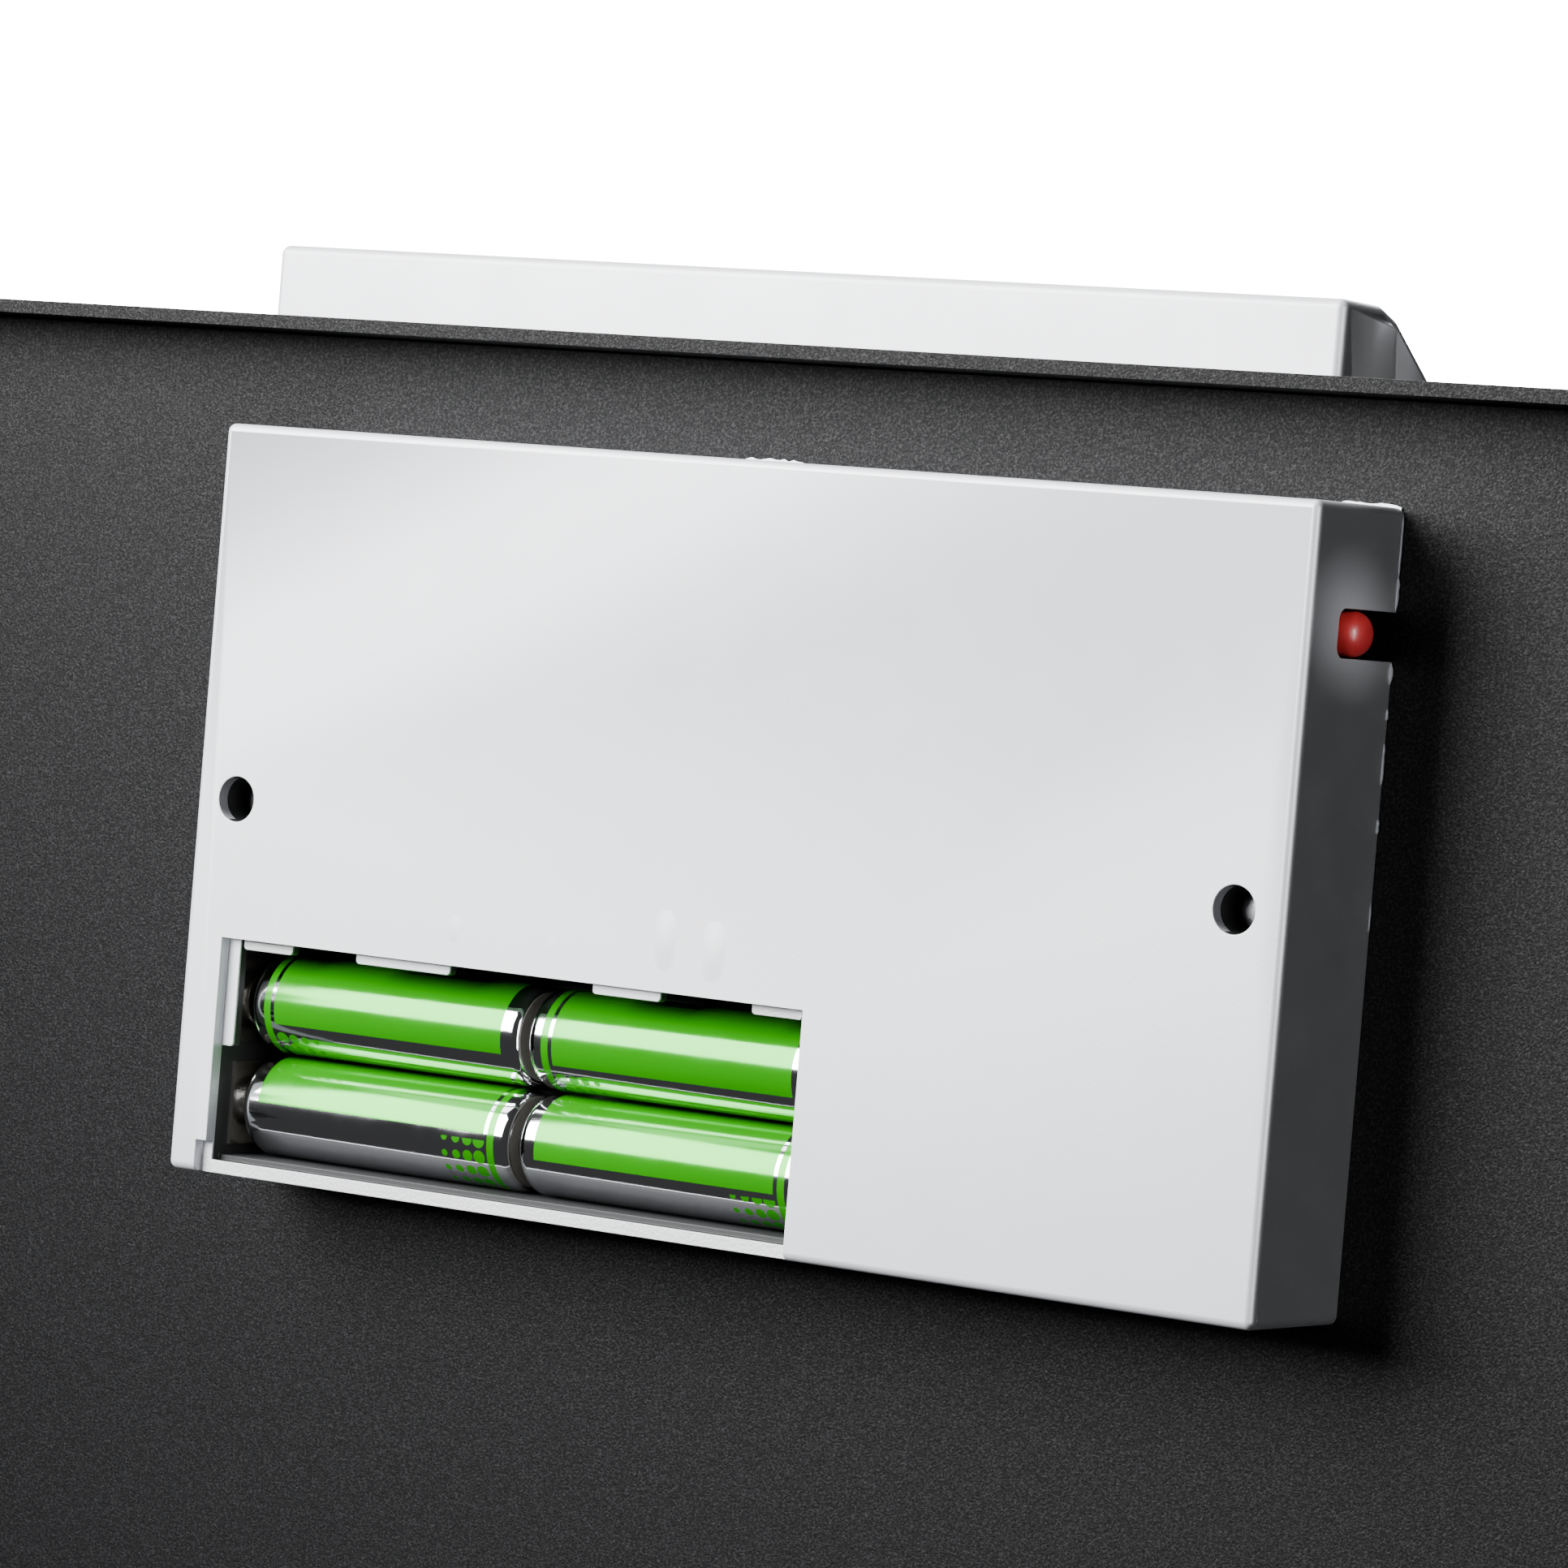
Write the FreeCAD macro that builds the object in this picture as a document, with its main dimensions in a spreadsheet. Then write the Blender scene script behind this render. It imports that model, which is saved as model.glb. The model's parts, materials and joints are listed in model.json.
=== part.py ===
"""Wall safe with its door standing open: a parametric FreeCAD document, one STEP file per piece.

Frame: +Z is up, the closed door faces -Y, and the origin is the centre of the safe's back face.
The door and all that it carries are laid out shut, then turned open about the hinge axis.
Every size is in millimetres.
"""
import FreeCAD
import Part
import os
import re
import Sketcher
from FreeCAD import Placement, Rotation, Vector

doc = FreeCAD.newDocument("wall_safe")
sheet = doc.addObject("Spreadsheet::Sheet", "sizes")

SIZES = """
safe_depth 150 | back face to the front of the flange
shell_wall 2 | steel of the box
door_width 380 | over the two side lips
door_height 240 | over the top and bottom lips
door_gap 3 | between the door and the opening, all round
door_proud 1 | the door's face stands this far out of the flange
bolt_room 12 | opening edge to the inside of the box
flange_reach 11 | the flange stands out past the box by this
flange_sheet 2
anchor_radius 5.25 | for a 10 mm expansion bolt
anchor_spread 260 | side to side
anchor_rise 160 | up and down
stud_radius 3.5 | side holes for 6 mm wood screws
stud_rise 140
mat_thickness 2
mat_margin 4
strike_sheet 3
strike_depth 40
strike_height 200
bolt_radius 6
bolt_spacing 120 | between the two locking bolts
bolt_throw 12
bolt_length 39.5
bolt_setback 0.5 | the drawn bolt's tip sits this far inside the lip
slide_play 0.3 | clearance between pieces that slide past each other
shaft_play 0.05 | running clearance of a shaft in its bore
lip_depth 29 | the door pan's full depth
pan_sheet 2
outer_plate 3
bolt_side_room 0.55 | between a bolt and the plate on each side
cover_sheet 1.5
cover_gap 0.3
post_radius 5
post_inset 12 | corner posts, in from the door's edges
screw_shank 1.6
overrun 1 | how far a cut passes the face that it opens
seat_overlap 0.5 | how far a fitted piece stands over its seat
wire_room 2
ribbon_tuck 1
switch_gap 2
stem_radius 1.5
stem_length 3
nose_length 1.5
nose_inset 1.2
arm_margin 5
coil_floor 4
plunger_seat 6
panel_lip 2
console_screw_radius 3.6
console_screw_head 2.2
room_margin 3
lamp_stand 0.8
lamp_tail 3
bushing_flange 3
bushing_tail 5
knob_skirt 8
grip_inset 1
spindle_neck 2
plug_lug_width 7
keyway_depth 12
flap_pin_tail 2
flap_pin_head 1.2
cover_screw_reach 8
cover_screw_head 1.6
case_screw_reach 5
case_screw_head 2
housing_inset 122 | hinge edge of the door to the housing
housing_drop 16.4 | top of the door to the top of the housing
housing_width 185
housing_height 108
bay_back 2.8 | behind the cells' space to the housing's back
housing_wall 1.8
housing_round 1.2
bay_left 6.9
bay_end_room 3.8 | past the lower cells, for their spring
bay_mouth_lip 2.4
bay_top_room 1.85
bay_foot_room 0.15
bay_back_room 0.35
bay_sill 2.7
cover_rebate 1.6 | depth of the step that takes the battery cover's edge
ledge_drop 1.5
ledge_sheet 1.6
ledge_round 0.6
side_ledge_width 2.3
side_ledge_drop 15.6 | how far down the bay the side ledge reaches
outer_ledge_left 9.8
outer_ledge_width 9.1
near_ledge_left 30.6
near_ledge_width 17.1
far_ledge_left 73
far_ledge_width 11.8
last_ledge_inset 9.6
last_ledge_width 8.5
sill_groove 0.8 | height of the groove under the cells
sill_groove_depth 3.2
corner_notch_left 5
corner_notch_width 3.2
corner_notch_rise 4.6
case_screw_left 7.5
case_screw_inset 7.9 | from the far wall
case_screw_drop 53.9
case_screw_bore 3.25
case_screw_sink 7
case_boss 4.6
cell_radius 7.25 | AA cell
cell_length 50.5
cell_nub_radius 2.75
cell_nub_length 1
cell_front_room 3.75
cell_row_gap 0.4
upper_cells_left 10.7
lower_cells_left 7.6
contact_sheet 0.4
contact_width 12
spring_radius 4.4
spring_tip_radius 2.6
button_radius 3.05
button_drop 17
button_depth 13.5
button_back 9 | from the far wall in to the button's tail
button_stand 0.6
button_travel 2
notch_play 0.2
notch_front 7.2 | housing face to the front of the button's notch
notch_round 1.6
switch_width 7.5
board_left 72
board_inset 19
board_top 7
board_bottom 62
board_sheet 1.6
board_depth 17.5
ribbon_width 12
ribbon_thickness 1
ribbon_left 64
ribbon_drop 60
console_width 188
console_offset 0.5
console_rise 11.8 | the console's top above the door's top
console_height 150
console_depth 30
console_wall 2.5
console_flat 10.3 | depth of the level part of its top
console_flat_fall 0.3
console_shoulder 14.6
console_shoulder_fall 2
console_brow_fall 13.8
console_round 1.4
console_boss 4.5
console_bolt_radius 2
console_bolt_inset 14
console_bolt_low 18
console_bolt_high 34
key_width 14
key_height 11
key_depth 5
key_pitch_across 17
key_pitch_down 14
key_stand 1.5 | a key stands out of its panel by this
key_travel 1
key_round 1.5
keypad_centre 38
keypad_drop 81.8
keypad_border 6
keypad_sheet 1.5
keypad_board_gap 2
lamp_radius 2
lamp_pitch 10
lamp_drop 33.8
knob_across 52 | free-edge side of the door's middle
knob_level 40
knob_radius 19
knob_length 20
knob_standoff 2
grip_width 9
grip_height 7
spindle_radius 6
spindle_socket 12
bushing_radius 9
crank_reach 8.5
crank_offset 6.01 | the crank pin's offset each way at rest
crank_sheet 1.2
crank_radius 12.5
crank_gap 0.4
crank_pin_radius 2.5
crank_slot_play 0.6
arm_sheet 3
arm_gap 0.5
arm_low 36
arm_high 58
bar_width 15
bar_height 140
bar_sheet 9
guide_length 17
guide_height 20
guide_setback 3
coil_width 16
coil_height 26
coil_low 6
coil_place 90
plunger_radius 2.5
plunger_travel 4
plunger_clear 0.5
notch_width 6.4
lock_drop 36.8 | from the console's top
lock_radius 9
lock_rim_radius 11
lock_rim 2
lock_length 20
plug_radius 6
plug_lug_reach 15
plug_lug_sheet 2
keyway_width 2
keyway_height 8
flap_width 26
flap_length 34
flap_sheet 2
flap_gap 1
flap_pivot_rise 15
flap_pin_radius 2
knuckle_radius 5
hinge_pin_radius 3
hinge_head_radius 4.5
hinge_head 2.5
hinge_height 60
hinge_centre 78
hinge_leaf 17
hinge_sheet 2.5
frame_leaf_sheet 3
leaf_start 5.8
pivot_standoff 5.5 | hinge axis in front of the door's face
rest_angle 120 | how far the door stands open
"""

PLACES = {
    "open_x": "door_width / 2 + door_gap",
    "open_z": "door_height / 2 + door_gap",
    "inner_x": "open_x + bolt_room",
    "inner_z": "open_z + bolt_room",
    "outer_x": "inner_x + shell_wall",
    "outer_z": "inner_z + shell_wall",
    "flange_x": "outer_x + flange_reach",
    "flange_z": "outer_z + flange_reach",
    "flange_front": "0 - safe_depth",
    "flange_back": "flange_front + flange_sheet",
    "door_x": "door_width / 2",
    "door_z": "door_height / 2",
    "door_face": "0 - safe_depth - door_proud",
    "bolt_space": "2 * bolt_radius + 2 * bolt_side_room",
    "work_front": "door_face + outer_plate",
    "work_back": "work_front + bolt_space",
    "cover_face": "work_back + cover_sheet",
    "cell_axis_depth": "cell_front_room + cell_radius",
    "bay_floor": "cell_axis_depth + cell_radius + bay_back_room",
    "housing_depth": "bay_floor + bay_back",
    "bay_bottom": "housing_height - bay_sill",
    "lower_cells_drop": "bay_bottom - bay_foot_room - cell_radius",
    "upper_cells_drop": "lower_cells_drop - cell_row_gap - 2 * cell_radius",
    "bay_top": "upper_cells_drop - cell_radius - bay_top_room",
    "bay_right": "lower_cells_left + 2 * cell_length + bay_end_room",
    "bay_mouth_right": "bay_right - bay_mouth_lip",
    "last_ledge_left": "bay_mouth_right - last_ledge_inset",
    "side_ledge_foot": "bay_top + side_ledge_drop",
    "case_screw_right": "housing_width - case_screw_inset",
    "button_tail": "housing_width - button_back",
    "button_tip": "housing_width + button_stand",
    "board_right": "housing_width - board_inset",
    "case_face": "cover_face + housing_depth",
    "bolt_y": "work_front + bolt_space / 2",
    "case_x": "door_x - housing_inset",
    "case_z": "door_z - housing_drop",
    "console_top": "door_z + console_rise",
    "console_foot": "console_top - console_height",
    "lock_level": "console_top - lock_drop",
    "lamp_level": "console_top - lamp_drop",
    "keypad_level": "console_top - keypad_drop",
    "console_right": "console_width / 2 - console_offset",
    "console_left": "console_right - console_width",
    "console_front": "door_face - console_depth",
    "pivot_x": "open_x",
    "pivot_y": "door_face - pivot_standoff",
    "crank_front": "work_front + crank_gap",
    "arm_front": "crank_front + crank_sheet + arm_gap",
    "arm_back": "arm_front + arm_sheet",
    "bolt_tip": "0 - door_x + bolt_setback",
    "bolt_tail": "bolt_tip + bolt_length",
    "knob_x": "0 - knob_across",
    "panel_front": "console_front - keypad_sheet",
}
FUNCTIONS = {"sqrt", "sin", "cos"}


def read_sizes():
    """Fill the sheet, one row for each size: its name, its value and what it means."""
    for row, line in enumerate(SIZES.strip().splitlines(), 1):
        size, _, note = line.partition("|")
        alias, value = size.split()
        sheet.set(f"A{row}", alias)
        sheet.set(f"B{row}", value)
        sheet.set(f"C{row}", note.strip())
        sheet.setAlias(f"B{row}", alias)
    doc.recompute()


def link(text):
    """An expression on the sheet's cells, from one written with the names of sizes and places."""
    def word(found):
        name = found.group(0)
        if name in FUNCTIONS:
            return name
        if name in PLACES:
            return "(" + link(PLACES[name]) + ")"
        return "sizes." + name
    return re.sub(r"[a-z]\w*", word, str(text))


def value(text):
    """The number that an expression comes to."""
    return float(sheet.evalExpression(link(text)))


def at_case(across):
    """Place along X of a distance measured from the housing's hinge-side wall."""
    return f"case_x - ({across})"


def below_case(drop):
    """Height of a distance measured down from the housing's top."""
    return f"case_z - ({drop})"


def behind_case(depth):
    """Place along Y of a distance measured from the housing's face towards the door."""
    return f"case_face - ({depth})"


# ---- solids bound to the sheet ----

TURNS = {
    "x": Rotation(Vector(0, 1, 0), 90),
    "y": Rotation(Vector(1, 0, 0), -90),
    "z": Rotation(),
}


def put(item, x, y, z):
    """Bind an object's place to the sheet."""
    for axis, text in zip("xyz", (x, y, z)):
        item.setExpression("Placement.Base." + axis, link(text))
    return item


def box(x, y, z):
    """A block between the two ends given along each axis."""
    item = doc.addObject("Part::Box", "block")
    for side, (low, high) in zip(("Length", "Width", "Height"), (x, y, z)):
        item.setExpression(side, link(f"({high}) - ({low})"))
    return put(item, x[0], y[0], z[0])


def rod(axis, start, radius, length):
    """A cylinder that runs from start towards the positive end of its axis."""
    item = doc.addObject("Part::Cylinder", "rod")
    item.Placement = Placement(Vector(), TURNS[axis])
    item.setExpression("Radius", link(radius))
    item.setExpression("Height", link(length))
    return put(item, *start)


def taper(axis, start, first, last, length):
    """A cone along an axis, from its first radius to its last."""
    item = doc.addObject("Part::Cone", "taper")
    item.Placement = Placement(Vector(), TURNS[axis])
    item.setExpression("Radius1", link(first))
    item.setExpression("Radius2", link(last))
    item.setExpression("Height", link(length))
    return put(item, *start)


def join(*items):
    """All of the items as one object; touching solids merge."""
    if len(items) == 1:
        return items[0]
    item = doc.addObject("Part::MultiFuse", "join")
    item.Shapes = list(items)
    item.Refine = True
    return item


def group(*items):
    """Separate solids kept side by side in one object."""
    item = doc.addObject("Part::Compound", "group")
    item.Links = list(items)
    return item


def cut(base, *tools):
    """The base with every tool taken away."""
    item = doc.addObject("Part::Cut", "cut")
    item.Base = base
    item.Tool = join(*tools)
    item.Refine = True
    return item


def soften(base, radius, wanted):
    """Round the edges that wanted() picks by their two ends."""
    doc.recompute()
    item = doc.addObject("Part::Fillet", "soften")
    item.Base = base
    size = value(radius)
    item.Edges = [
        (number, size, size)
        for number, edge in enumerate(base.Shape.Edges, 1)
        if len(edge.Vertexes) == 2 and wanted(*(v.Point for v in edge.Vertexes))
    ]
    return item


# ---- sketched plates ----

ROLES = {"x": "YZ_Plane", "y": "XZ_Plane", "z": "XY_Plane"}


def pin_point(sketch, geometry, end, u, v):
    """Hold a point of the sketch at u, v, both bound to the sheet."""
    for kind, text, axis in (("DistanceX", u, -2), ("DistanceY", v, -1)):
        if abs(value(text)) < 1e-9:
            sketch.addConstraint(Sketcher.Constraint("PointOnObject", geometry, end, axis))
            continue
        rule = sketch.addConstraint(
            Sketcher.Constraint(kind, -1, 1, geometry, end, value(text))
        )
        sketch.setExpression(f"Constraints[{rule}]", link(text))


def draw_loop(sketch, points):
    """A closed run of straight lines through points."""
    ends = [Vector(value(u), value(v), 0) for u, v in points]
    lines = [
        sketch.addGeometry(Part.LineSegment(ends[i], ends[(i + 1) % len(ends)]), False)
        for i in range(len(ends))
    ]
    for i, line in enumerate(lines):
        after = lines[(i + 1) % len(lines)]
        sketch.addConstraint(Sketcher.Constraint("Coincident", line, 2, after, 1))
        pin_point(sketch, line, 1, *points[i])


def draw_hole(sketch, u, v, radius):
    """A circle, its centre and radius bound to the sheet."""
    ring = Part.Circle(Vector(value(u), value(v), 0), Vector(0, 0, 1), value(radius))
    circle = sketch.addGeometry(ring, False)
    pin_point(sketch, circle, 3, u, v)
    rule = sketch.addConstraint(Sketcher.Constraint("Radius", circle, value(radius)))
    sketch.setExpression(f"Constraints[{rule}]", link(radius))


def rectangle(u, v):
    """The corners of a rectangle between the ends given along each axis."""
    return [(u[0], v[0]), (u[1], v[0]), (u[1], v[1]), (u[0], v[1])]


def plate(axis, start, thickness, outline, windows=(), holes=()):
    """A PartDesign body: an outline with its openings, padded along an axis.

    A plate across X starts at its low face and one across Y at its high one.
    """
    body = doc.addObject("PartDesign::Body", "plate")
    sketch = body.newObject("Sketcher::SketchObject", "outline")
    origin = [f for f in body.Origin.OriginFeatures if f.Role == ROLES[axis]][0]
    sketch.AttachmentSupport = [(origin, "")]
    sketch.MapMode = "FlatFace"
    side = "0 - " if axis == "y" else ""
    sketch.setExpression("AttachmentOffset.Base.z", link(f"{side}({start})"))
    draw_loop(sketch, outline)
    for window in windows:
        draw_loop(sketch, window)
    for hole in holes:
        draw_hole(sketch, *hole)
    pad = body.newObject("PartDesign::Pad", "pad")
    pad.Profile = sketch
    pad.setExpression("Length", link(thickness))
    doc.recompute()
    return body


read_sizes()
FIXED = {}
ON_DOOR = {}

BOTH = ("0 - ", "")
CORNERS = [(i, j) for i in BOTH for j in BOTH]

# ---- the box in the wall ----

anchor_holes = [
    rod("y", (f"{i}anchor_spread / 2", "0 - shell_wall - overrun", f"{j}anchor_rise / 2"),
        "anchor_radius", "shell_wall + 2 * overrun")
    for i, j in CORNERS
]
stud_holes = [
    rod("x", ("0 - outer_x - overrun", "0 - safe_depth / 2", f"{j}stud_rise / 2"),
        "stud_radius", "2 * outer_x + 2 * overrun")
    for j in BOTH
]
FIXED["body_shell"] = cut(
    box(("0 - outer_x", "outer_x"), ("flange_back", "0"), ("0 - outer_z", "outer_z")),
    box(("0 - inner_x", "inner_x"), ("flange_back - overrun", "0 - shell_wall"),
        ("0 - inner_z", "inner_z")),
    *anchor_holes, *stud_holes)
FIXED["front_flange"] = plate(
    "y", "flange_back", "flange_sheet",
    rectangle(("0 - flange_x", "flange_x"), ("0 - flange_z", "flange_z")),
    [rectangle(("0 - open_x", "open_x"), ("0 - open_z", "open_z"))])
FIXED["floor_mat"] = box(
    ("0 - inner_x + mat_margin", "inner_x - mat_margin"),
    ("flange_back + mat_margin", "0 - shell_wall - mat_margin"),
    ("0 - inner_z", "0 - inner_z + mat_thickness"))
strike_back = "flange_back + strike_depth"
FIXED["strike_plate"] = cut(
    join(
        box(("0 - open_x - strike_sheet", "0 - open_x"), ("flange_back", strike_back),
            ("0 - strike_height / 2", "strike_height / 2")),
        box(("0 - inner_x", "0 - open_x"), (f"{strike_back} - strike_sheet", strike_back),
            ("0 - strike_height / 2", "strike_height / 2"))),
    *[box(("0 - open_x - strike_sheet - overrun", "0 - open_x + overrun"),
          ("flange_back - overrun", "bolt_y + bolt_radius + 2 * slide_play"),
          (f"{j}bolt_spacing / 2 - bolt_radius - 2 * slide_play",
           f"{j}bolt_spacing / 2 + bolt_radius + 2 * slide_play"))
      for j in BOTH])

# ---- hinges: three knuckles each, the middle one on the door ----


def knuckle(low, high):
    """One knuckle's tube on the hinge axis."""
    return rod("z", ("pivot_x", "pivot_y", low), "knuckle_radius", f"({high}) - ({low})")


def hinge(level):
    """The frame's leaf, the door's leaf and the pin of a hinge centred at a height."""
    low = f"({level}) - hinge_height / 2"
    high = f"({level}) + hinge_height / 2"
    step_low = f"({level}) - hinge_height / 5"
    step_high = f"({level}) + hinge_height / 5"
    bore = [
        rod("z", ("pivot_x", "pivot_y", f"{low} - 1"), "hinge_pin_radius + shaft_play",
            "hinge_height + 2 * overrun")
        for _ in range(2)
    ]
    frame_side = [
        box(("pivot_x + leaf_start", "pivot_x + leaf_start + hinge_leaf"),
            ("flange_front - frame_leaf_sheet", "flange_front"), (low, high))
    ]
    for ends in ((low, f"{step_low} - slide_play / 2"), (f"{step_high} + slide_play / 2", high)):
        frame_side.append(knuckle(*ends))
        frame_side.append(
            box(("pivot_x + overrun", "pivot_x + leaf_start"),
                ("flange_front - frame_leaf_sheet", "flange_front - slide_play"), ends))
    door_ends = (f"{step_low} + slide_play / 2", f"{step_high} - slide_play / 2")
    door_side = [
        box(("pivot_x - leaf_start - hinge_leaf", "pivot_x - leaf_start"),
            ("door_face - hinge_sheet", "door_face"), (low, high)),
        knuckle(*door_ends),
        box(("pivot_x - leaf_start", "pivot_x - overrun"),
            ("door_face - hinge_sheet", "door_face"), door_ends),
    ]
    pin = join(
        rod("z", ("pivot_x", "pivot_y", f"{low} - hinge_head"), "hinge_pin_radius",
            "hinge_height + 2 * hinge_head"),
        rod("z", ("pivot_x", "pivot_y", f"{low} - hinge_head"), "hinge_head_radius", "hinge_head"),
        rod("z", ("pivot_x", "pivot_y", high), "hinge_head_radius", "hinge_head"))
    return cut(join(*frame_side), bore[0]), cut(join(*door_side), bore[1]), pin


for place, level in (("upper", "hinge_centre"), ("lower", "0 - hinge_centre")):
    leaves = hinge(level)
    FIXED["hinge_frame_" + place] = leaves[0]
    ON_DOOR["hinge_door_" + place] = leaves[1]
    FIXED["hinge_pin_" + place] = leaves[2]

# ---- the door's shells ----

wire_window = (
    (at_case("ribbon_left + ribbon_width + wire_room"), at_case("ribbon_left - wire_room")),
    (below_case("ribbon_drop + wire_room"), below_case("ribbon_drop - ribbon_thickness - wire_room")),
)
console_bolts = [
    (f"console_right - console_bolt_inset - ({i})", j)
    for i in ("0", "console_width - 2 * console_bolt_inset")
    for j in ("console_foot + console_bolt_low", "console_top - console_bolt_high")
]
post_x = "(door_x - post_inset)"
post_z = "(door_z - post_inset)"
posts = [
    rod("y", (f"{i}{post_x}", "work_front - overrun", f"{j}{post_z}"), "post_radius",
        "bolt_space + overrun")
    for i, j in CORNERS
]
post_bores = [
    rod("y", (f"{i}{post_x}", "work_front", f"{j}{post_z}"), "screw_shank + shaft_play",
        "bolt_space + overrun")
    for i, j in CORNERS
]
bolt_levels = [f"{j}bolt_spacing / 2" for j in BOTH]
ON_DOOR["door_pan"] = cut(
    join(
        cut(
            box(("0 - door_x", "door_x"), ("door_face", "door_face + lip_depth"),
                ("0 - door_z", "door_z")),
            box(("pan_sheet - door_x", "door_x - pan_sheet"),
                ("work_front", "door_face + lip_depth + overrun"),
                ("pan_sheet - door_z", "door_z - pan_sheet"))),
        *posts),
    *post_bores,
    *[rod("x", ("0 - door_x - overrun", "bolt_y", level), "bolt_radius + slide_play",
          "pan_sheet + 2 * overrun")
      for level in bolt_levels],
    rod("y", ("knob_x", "door_face - overrun", "knob_level"), "spindle_radius + slide_play",
        "outer_plate + 2 * overrun"),
    box(wire_window[0], ("door_face - overrun", "work_front + overrun"), wire_window[1]),
    *[rod("y", (x, "door_face - overrun", z), "console_bolt_radius + slide_play",
          "outer_plate + 2 * overrun")
      for x, z in console_bolts])

case_screws = [
    (at_case(place), below_case("case_screw_drop"))
    for place in ("case_screw_left", "case_screw_right")
]
ON_DOOR["inner_cover"] = plate(
    "y", "cover_face", "cover_sheet",
    rectangle(("pan_sheet + cover_gap - door_x", "door_x - pan_sheet - cover_gap"),
              ("pan_sheet + cover_gap - door_z", "door_z - pan_sheet - cover_gap")),
    [rectangle(*wire_window)],
    [(x, z, "screw_shank + shaft_play") for x, z in case_screws]
    + [(f"{i}{post_x}", f"{j}{post_z}", "screw_shank + shaft_play") for i, j in CORNERS])
ON_DOOR["cover_screws"] = group(*[
    join(
        rod("y", (f"{i}{post_x}", "work_back - cover_screw_reach", f"{j}{post_z}"), "screw_shank",
            "cover_sheet + cover_screw_reach"),
        rod("y", (f"{i}{post_x}", "cover_face", f"{j}{post_z}"), "2 * screw_shank",
            "cover_screw_head"))
    for i, j in CORNERS])

# ---- the battery housing and what is in it ----


def in_case(across, drop, depth):
    """A block given by its ends across, down and into the battery housing."""
    return box((at_case(across[1]), at_case(across[0])),
               (behind_case(depth[1]), behind_case(depth[0])),
               (below_case(drop[1]), below_case(drop[0])))


def across_case(start, drop, depth, radius, length):
    """A cylinder that starts at a distance across the housing and ends further from the hinge."""
    return rod("x", (at_case(f"({start}) + ({length})"), behind_case(depth), below_case(drop)),
               radius, length)


def at_front(a, b):
    """True for an edge round the housing's face or down one of its corners."""
    inside = case_back + 0.01 < a.y and case_back + 0.01 < b.y
    return inside or abs(a.y - b.y) > 1


case_back = value("cover_face")
case_block = in_case(("0", "housing_width"), ("0", "housing_height"), ("0", "housing_depth"))
case_shape = soften(case_block, "housing_round", at_front)
board_room = in_case(("housing_wall", "housing_width - housing_wall"),
                     ("housing_wall", "bay_top - housing_wall"),
                     ("housing_wall", "housing_depth + overrun"))
side_room = in_case(("bay_right + housing_wall", "housing_width - housing_wall"),
                    ("bay_top - housing_wall - overrun", "housing_height - housing_wall"),
                    ("housing_wall", "housing_depth + overrun"))
bay = in_case(("bay_left", "bay_right"), ("bay_top", "bay_bottom"), ("housing_wall", "bay_floor"))
mouth = in_case(("bay_left", "bay_mouth_right"), ("bay_top", "housing_height + overrun"),
                ("0 - overrun", "cover_rebate"))
mouth_step = in_case(("bay_left", "bay_mouth_right"), ("bay_top", "bay_bottom"),
                     ("0 - overrun", "housing_wall + overrun"))
notch_half = "(button_radius + notch_play)"


def notch_block(drop_play, front):
    """One block of the button's notch: how far it stops short up and down, and its front."""
    return in_case(
        ("housing_width - housing_wall - overrun", "housing_width + overrun"),
        (f"button_drop - {notch_half} + {drop_play}", f"button_drop + {notch_half} - {drop_play}"),
        (front, "housing_depth + overrun"))


button_notch = join(
    notch_block("0", "notch_front + notch_round"),
    notch_block("notch_round", "notch_front"),
    *[across_case("housing_width - housing_wall - overrun",
                  f"button_drop {sign} ({notch_half} - notch_round)",
                  "notch_front + notch_round", "notch_round", "housing_wall + 2 * overrun")
      for sign in "+-"])
screw_bosses = [
    rod("y", (x, "cover_face", z), "case_boss", "housing_depth - housing_wall / 2")
    for x, z in case_screws
]
screw_sinks = [
    rod("y", (x, "case_face - case_screw_sink", z), "case_screw_bore", "case_screw_sink + overrun")
    for x, z in case_screws
]
screw_bores = [
    rod("y", (x, "cover_face - overrun", z), "screw_shank + shaft_play", "housing_depth + 2 * overrun")
    for x, z in case_screws
]


def at_ledge_corner(a, b):
    """True for an edge that runs through a ledge."""
    return abs(a.y - b.y) > value("ledge_sheet") / 2


def ledge(start, end, foot):
    """A thin ledge that hangs from the bay's upper edge and that the cover rested on."""
    block = in_case((start, end), ("bay_top - overrun", foot),
                    ("cover_rebate", "cover_rebate + ledge_sheet"))
    return soften(block, "ledge_round", at_ledge_corner)


ledges = [
    ledge(f"{place}_ledge_left", f"{place}_ledge_left + {place}_ledge_width",
          "bay_top + ledge_drop")
    for place in ("outer", "near", "far", "last")
]
side_ledge = ledge("bay_left - overrun", "bay_left + side_ledge_width", "side_ledge_foot")
sill_groove = in_case(("bay_left", "bay_mouth_right"),
                      ("bay_bottom - overrun", "bay_bottom + sill_groove"), ("0", "sill_groove_depth"))
corner_notch = in_case(
    ("corner_notch_left", "corner_notch_left + corner_notch_width"),
    ("housing_height - corner_notch_rise", "housing_height + overrun"), ("0 - overrun", "cover_rebate"))
ON_DOOR["battery_housing"] = cut(
    join(
        cut(case_shape, board_room, side_room, bay, mouth, mouth_step, sill_groove, corner_notch,
            button_notch),
        *screw_bosses, *ledges, side_ledge),
    *screw_sinks, *screw_bores)
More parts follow.
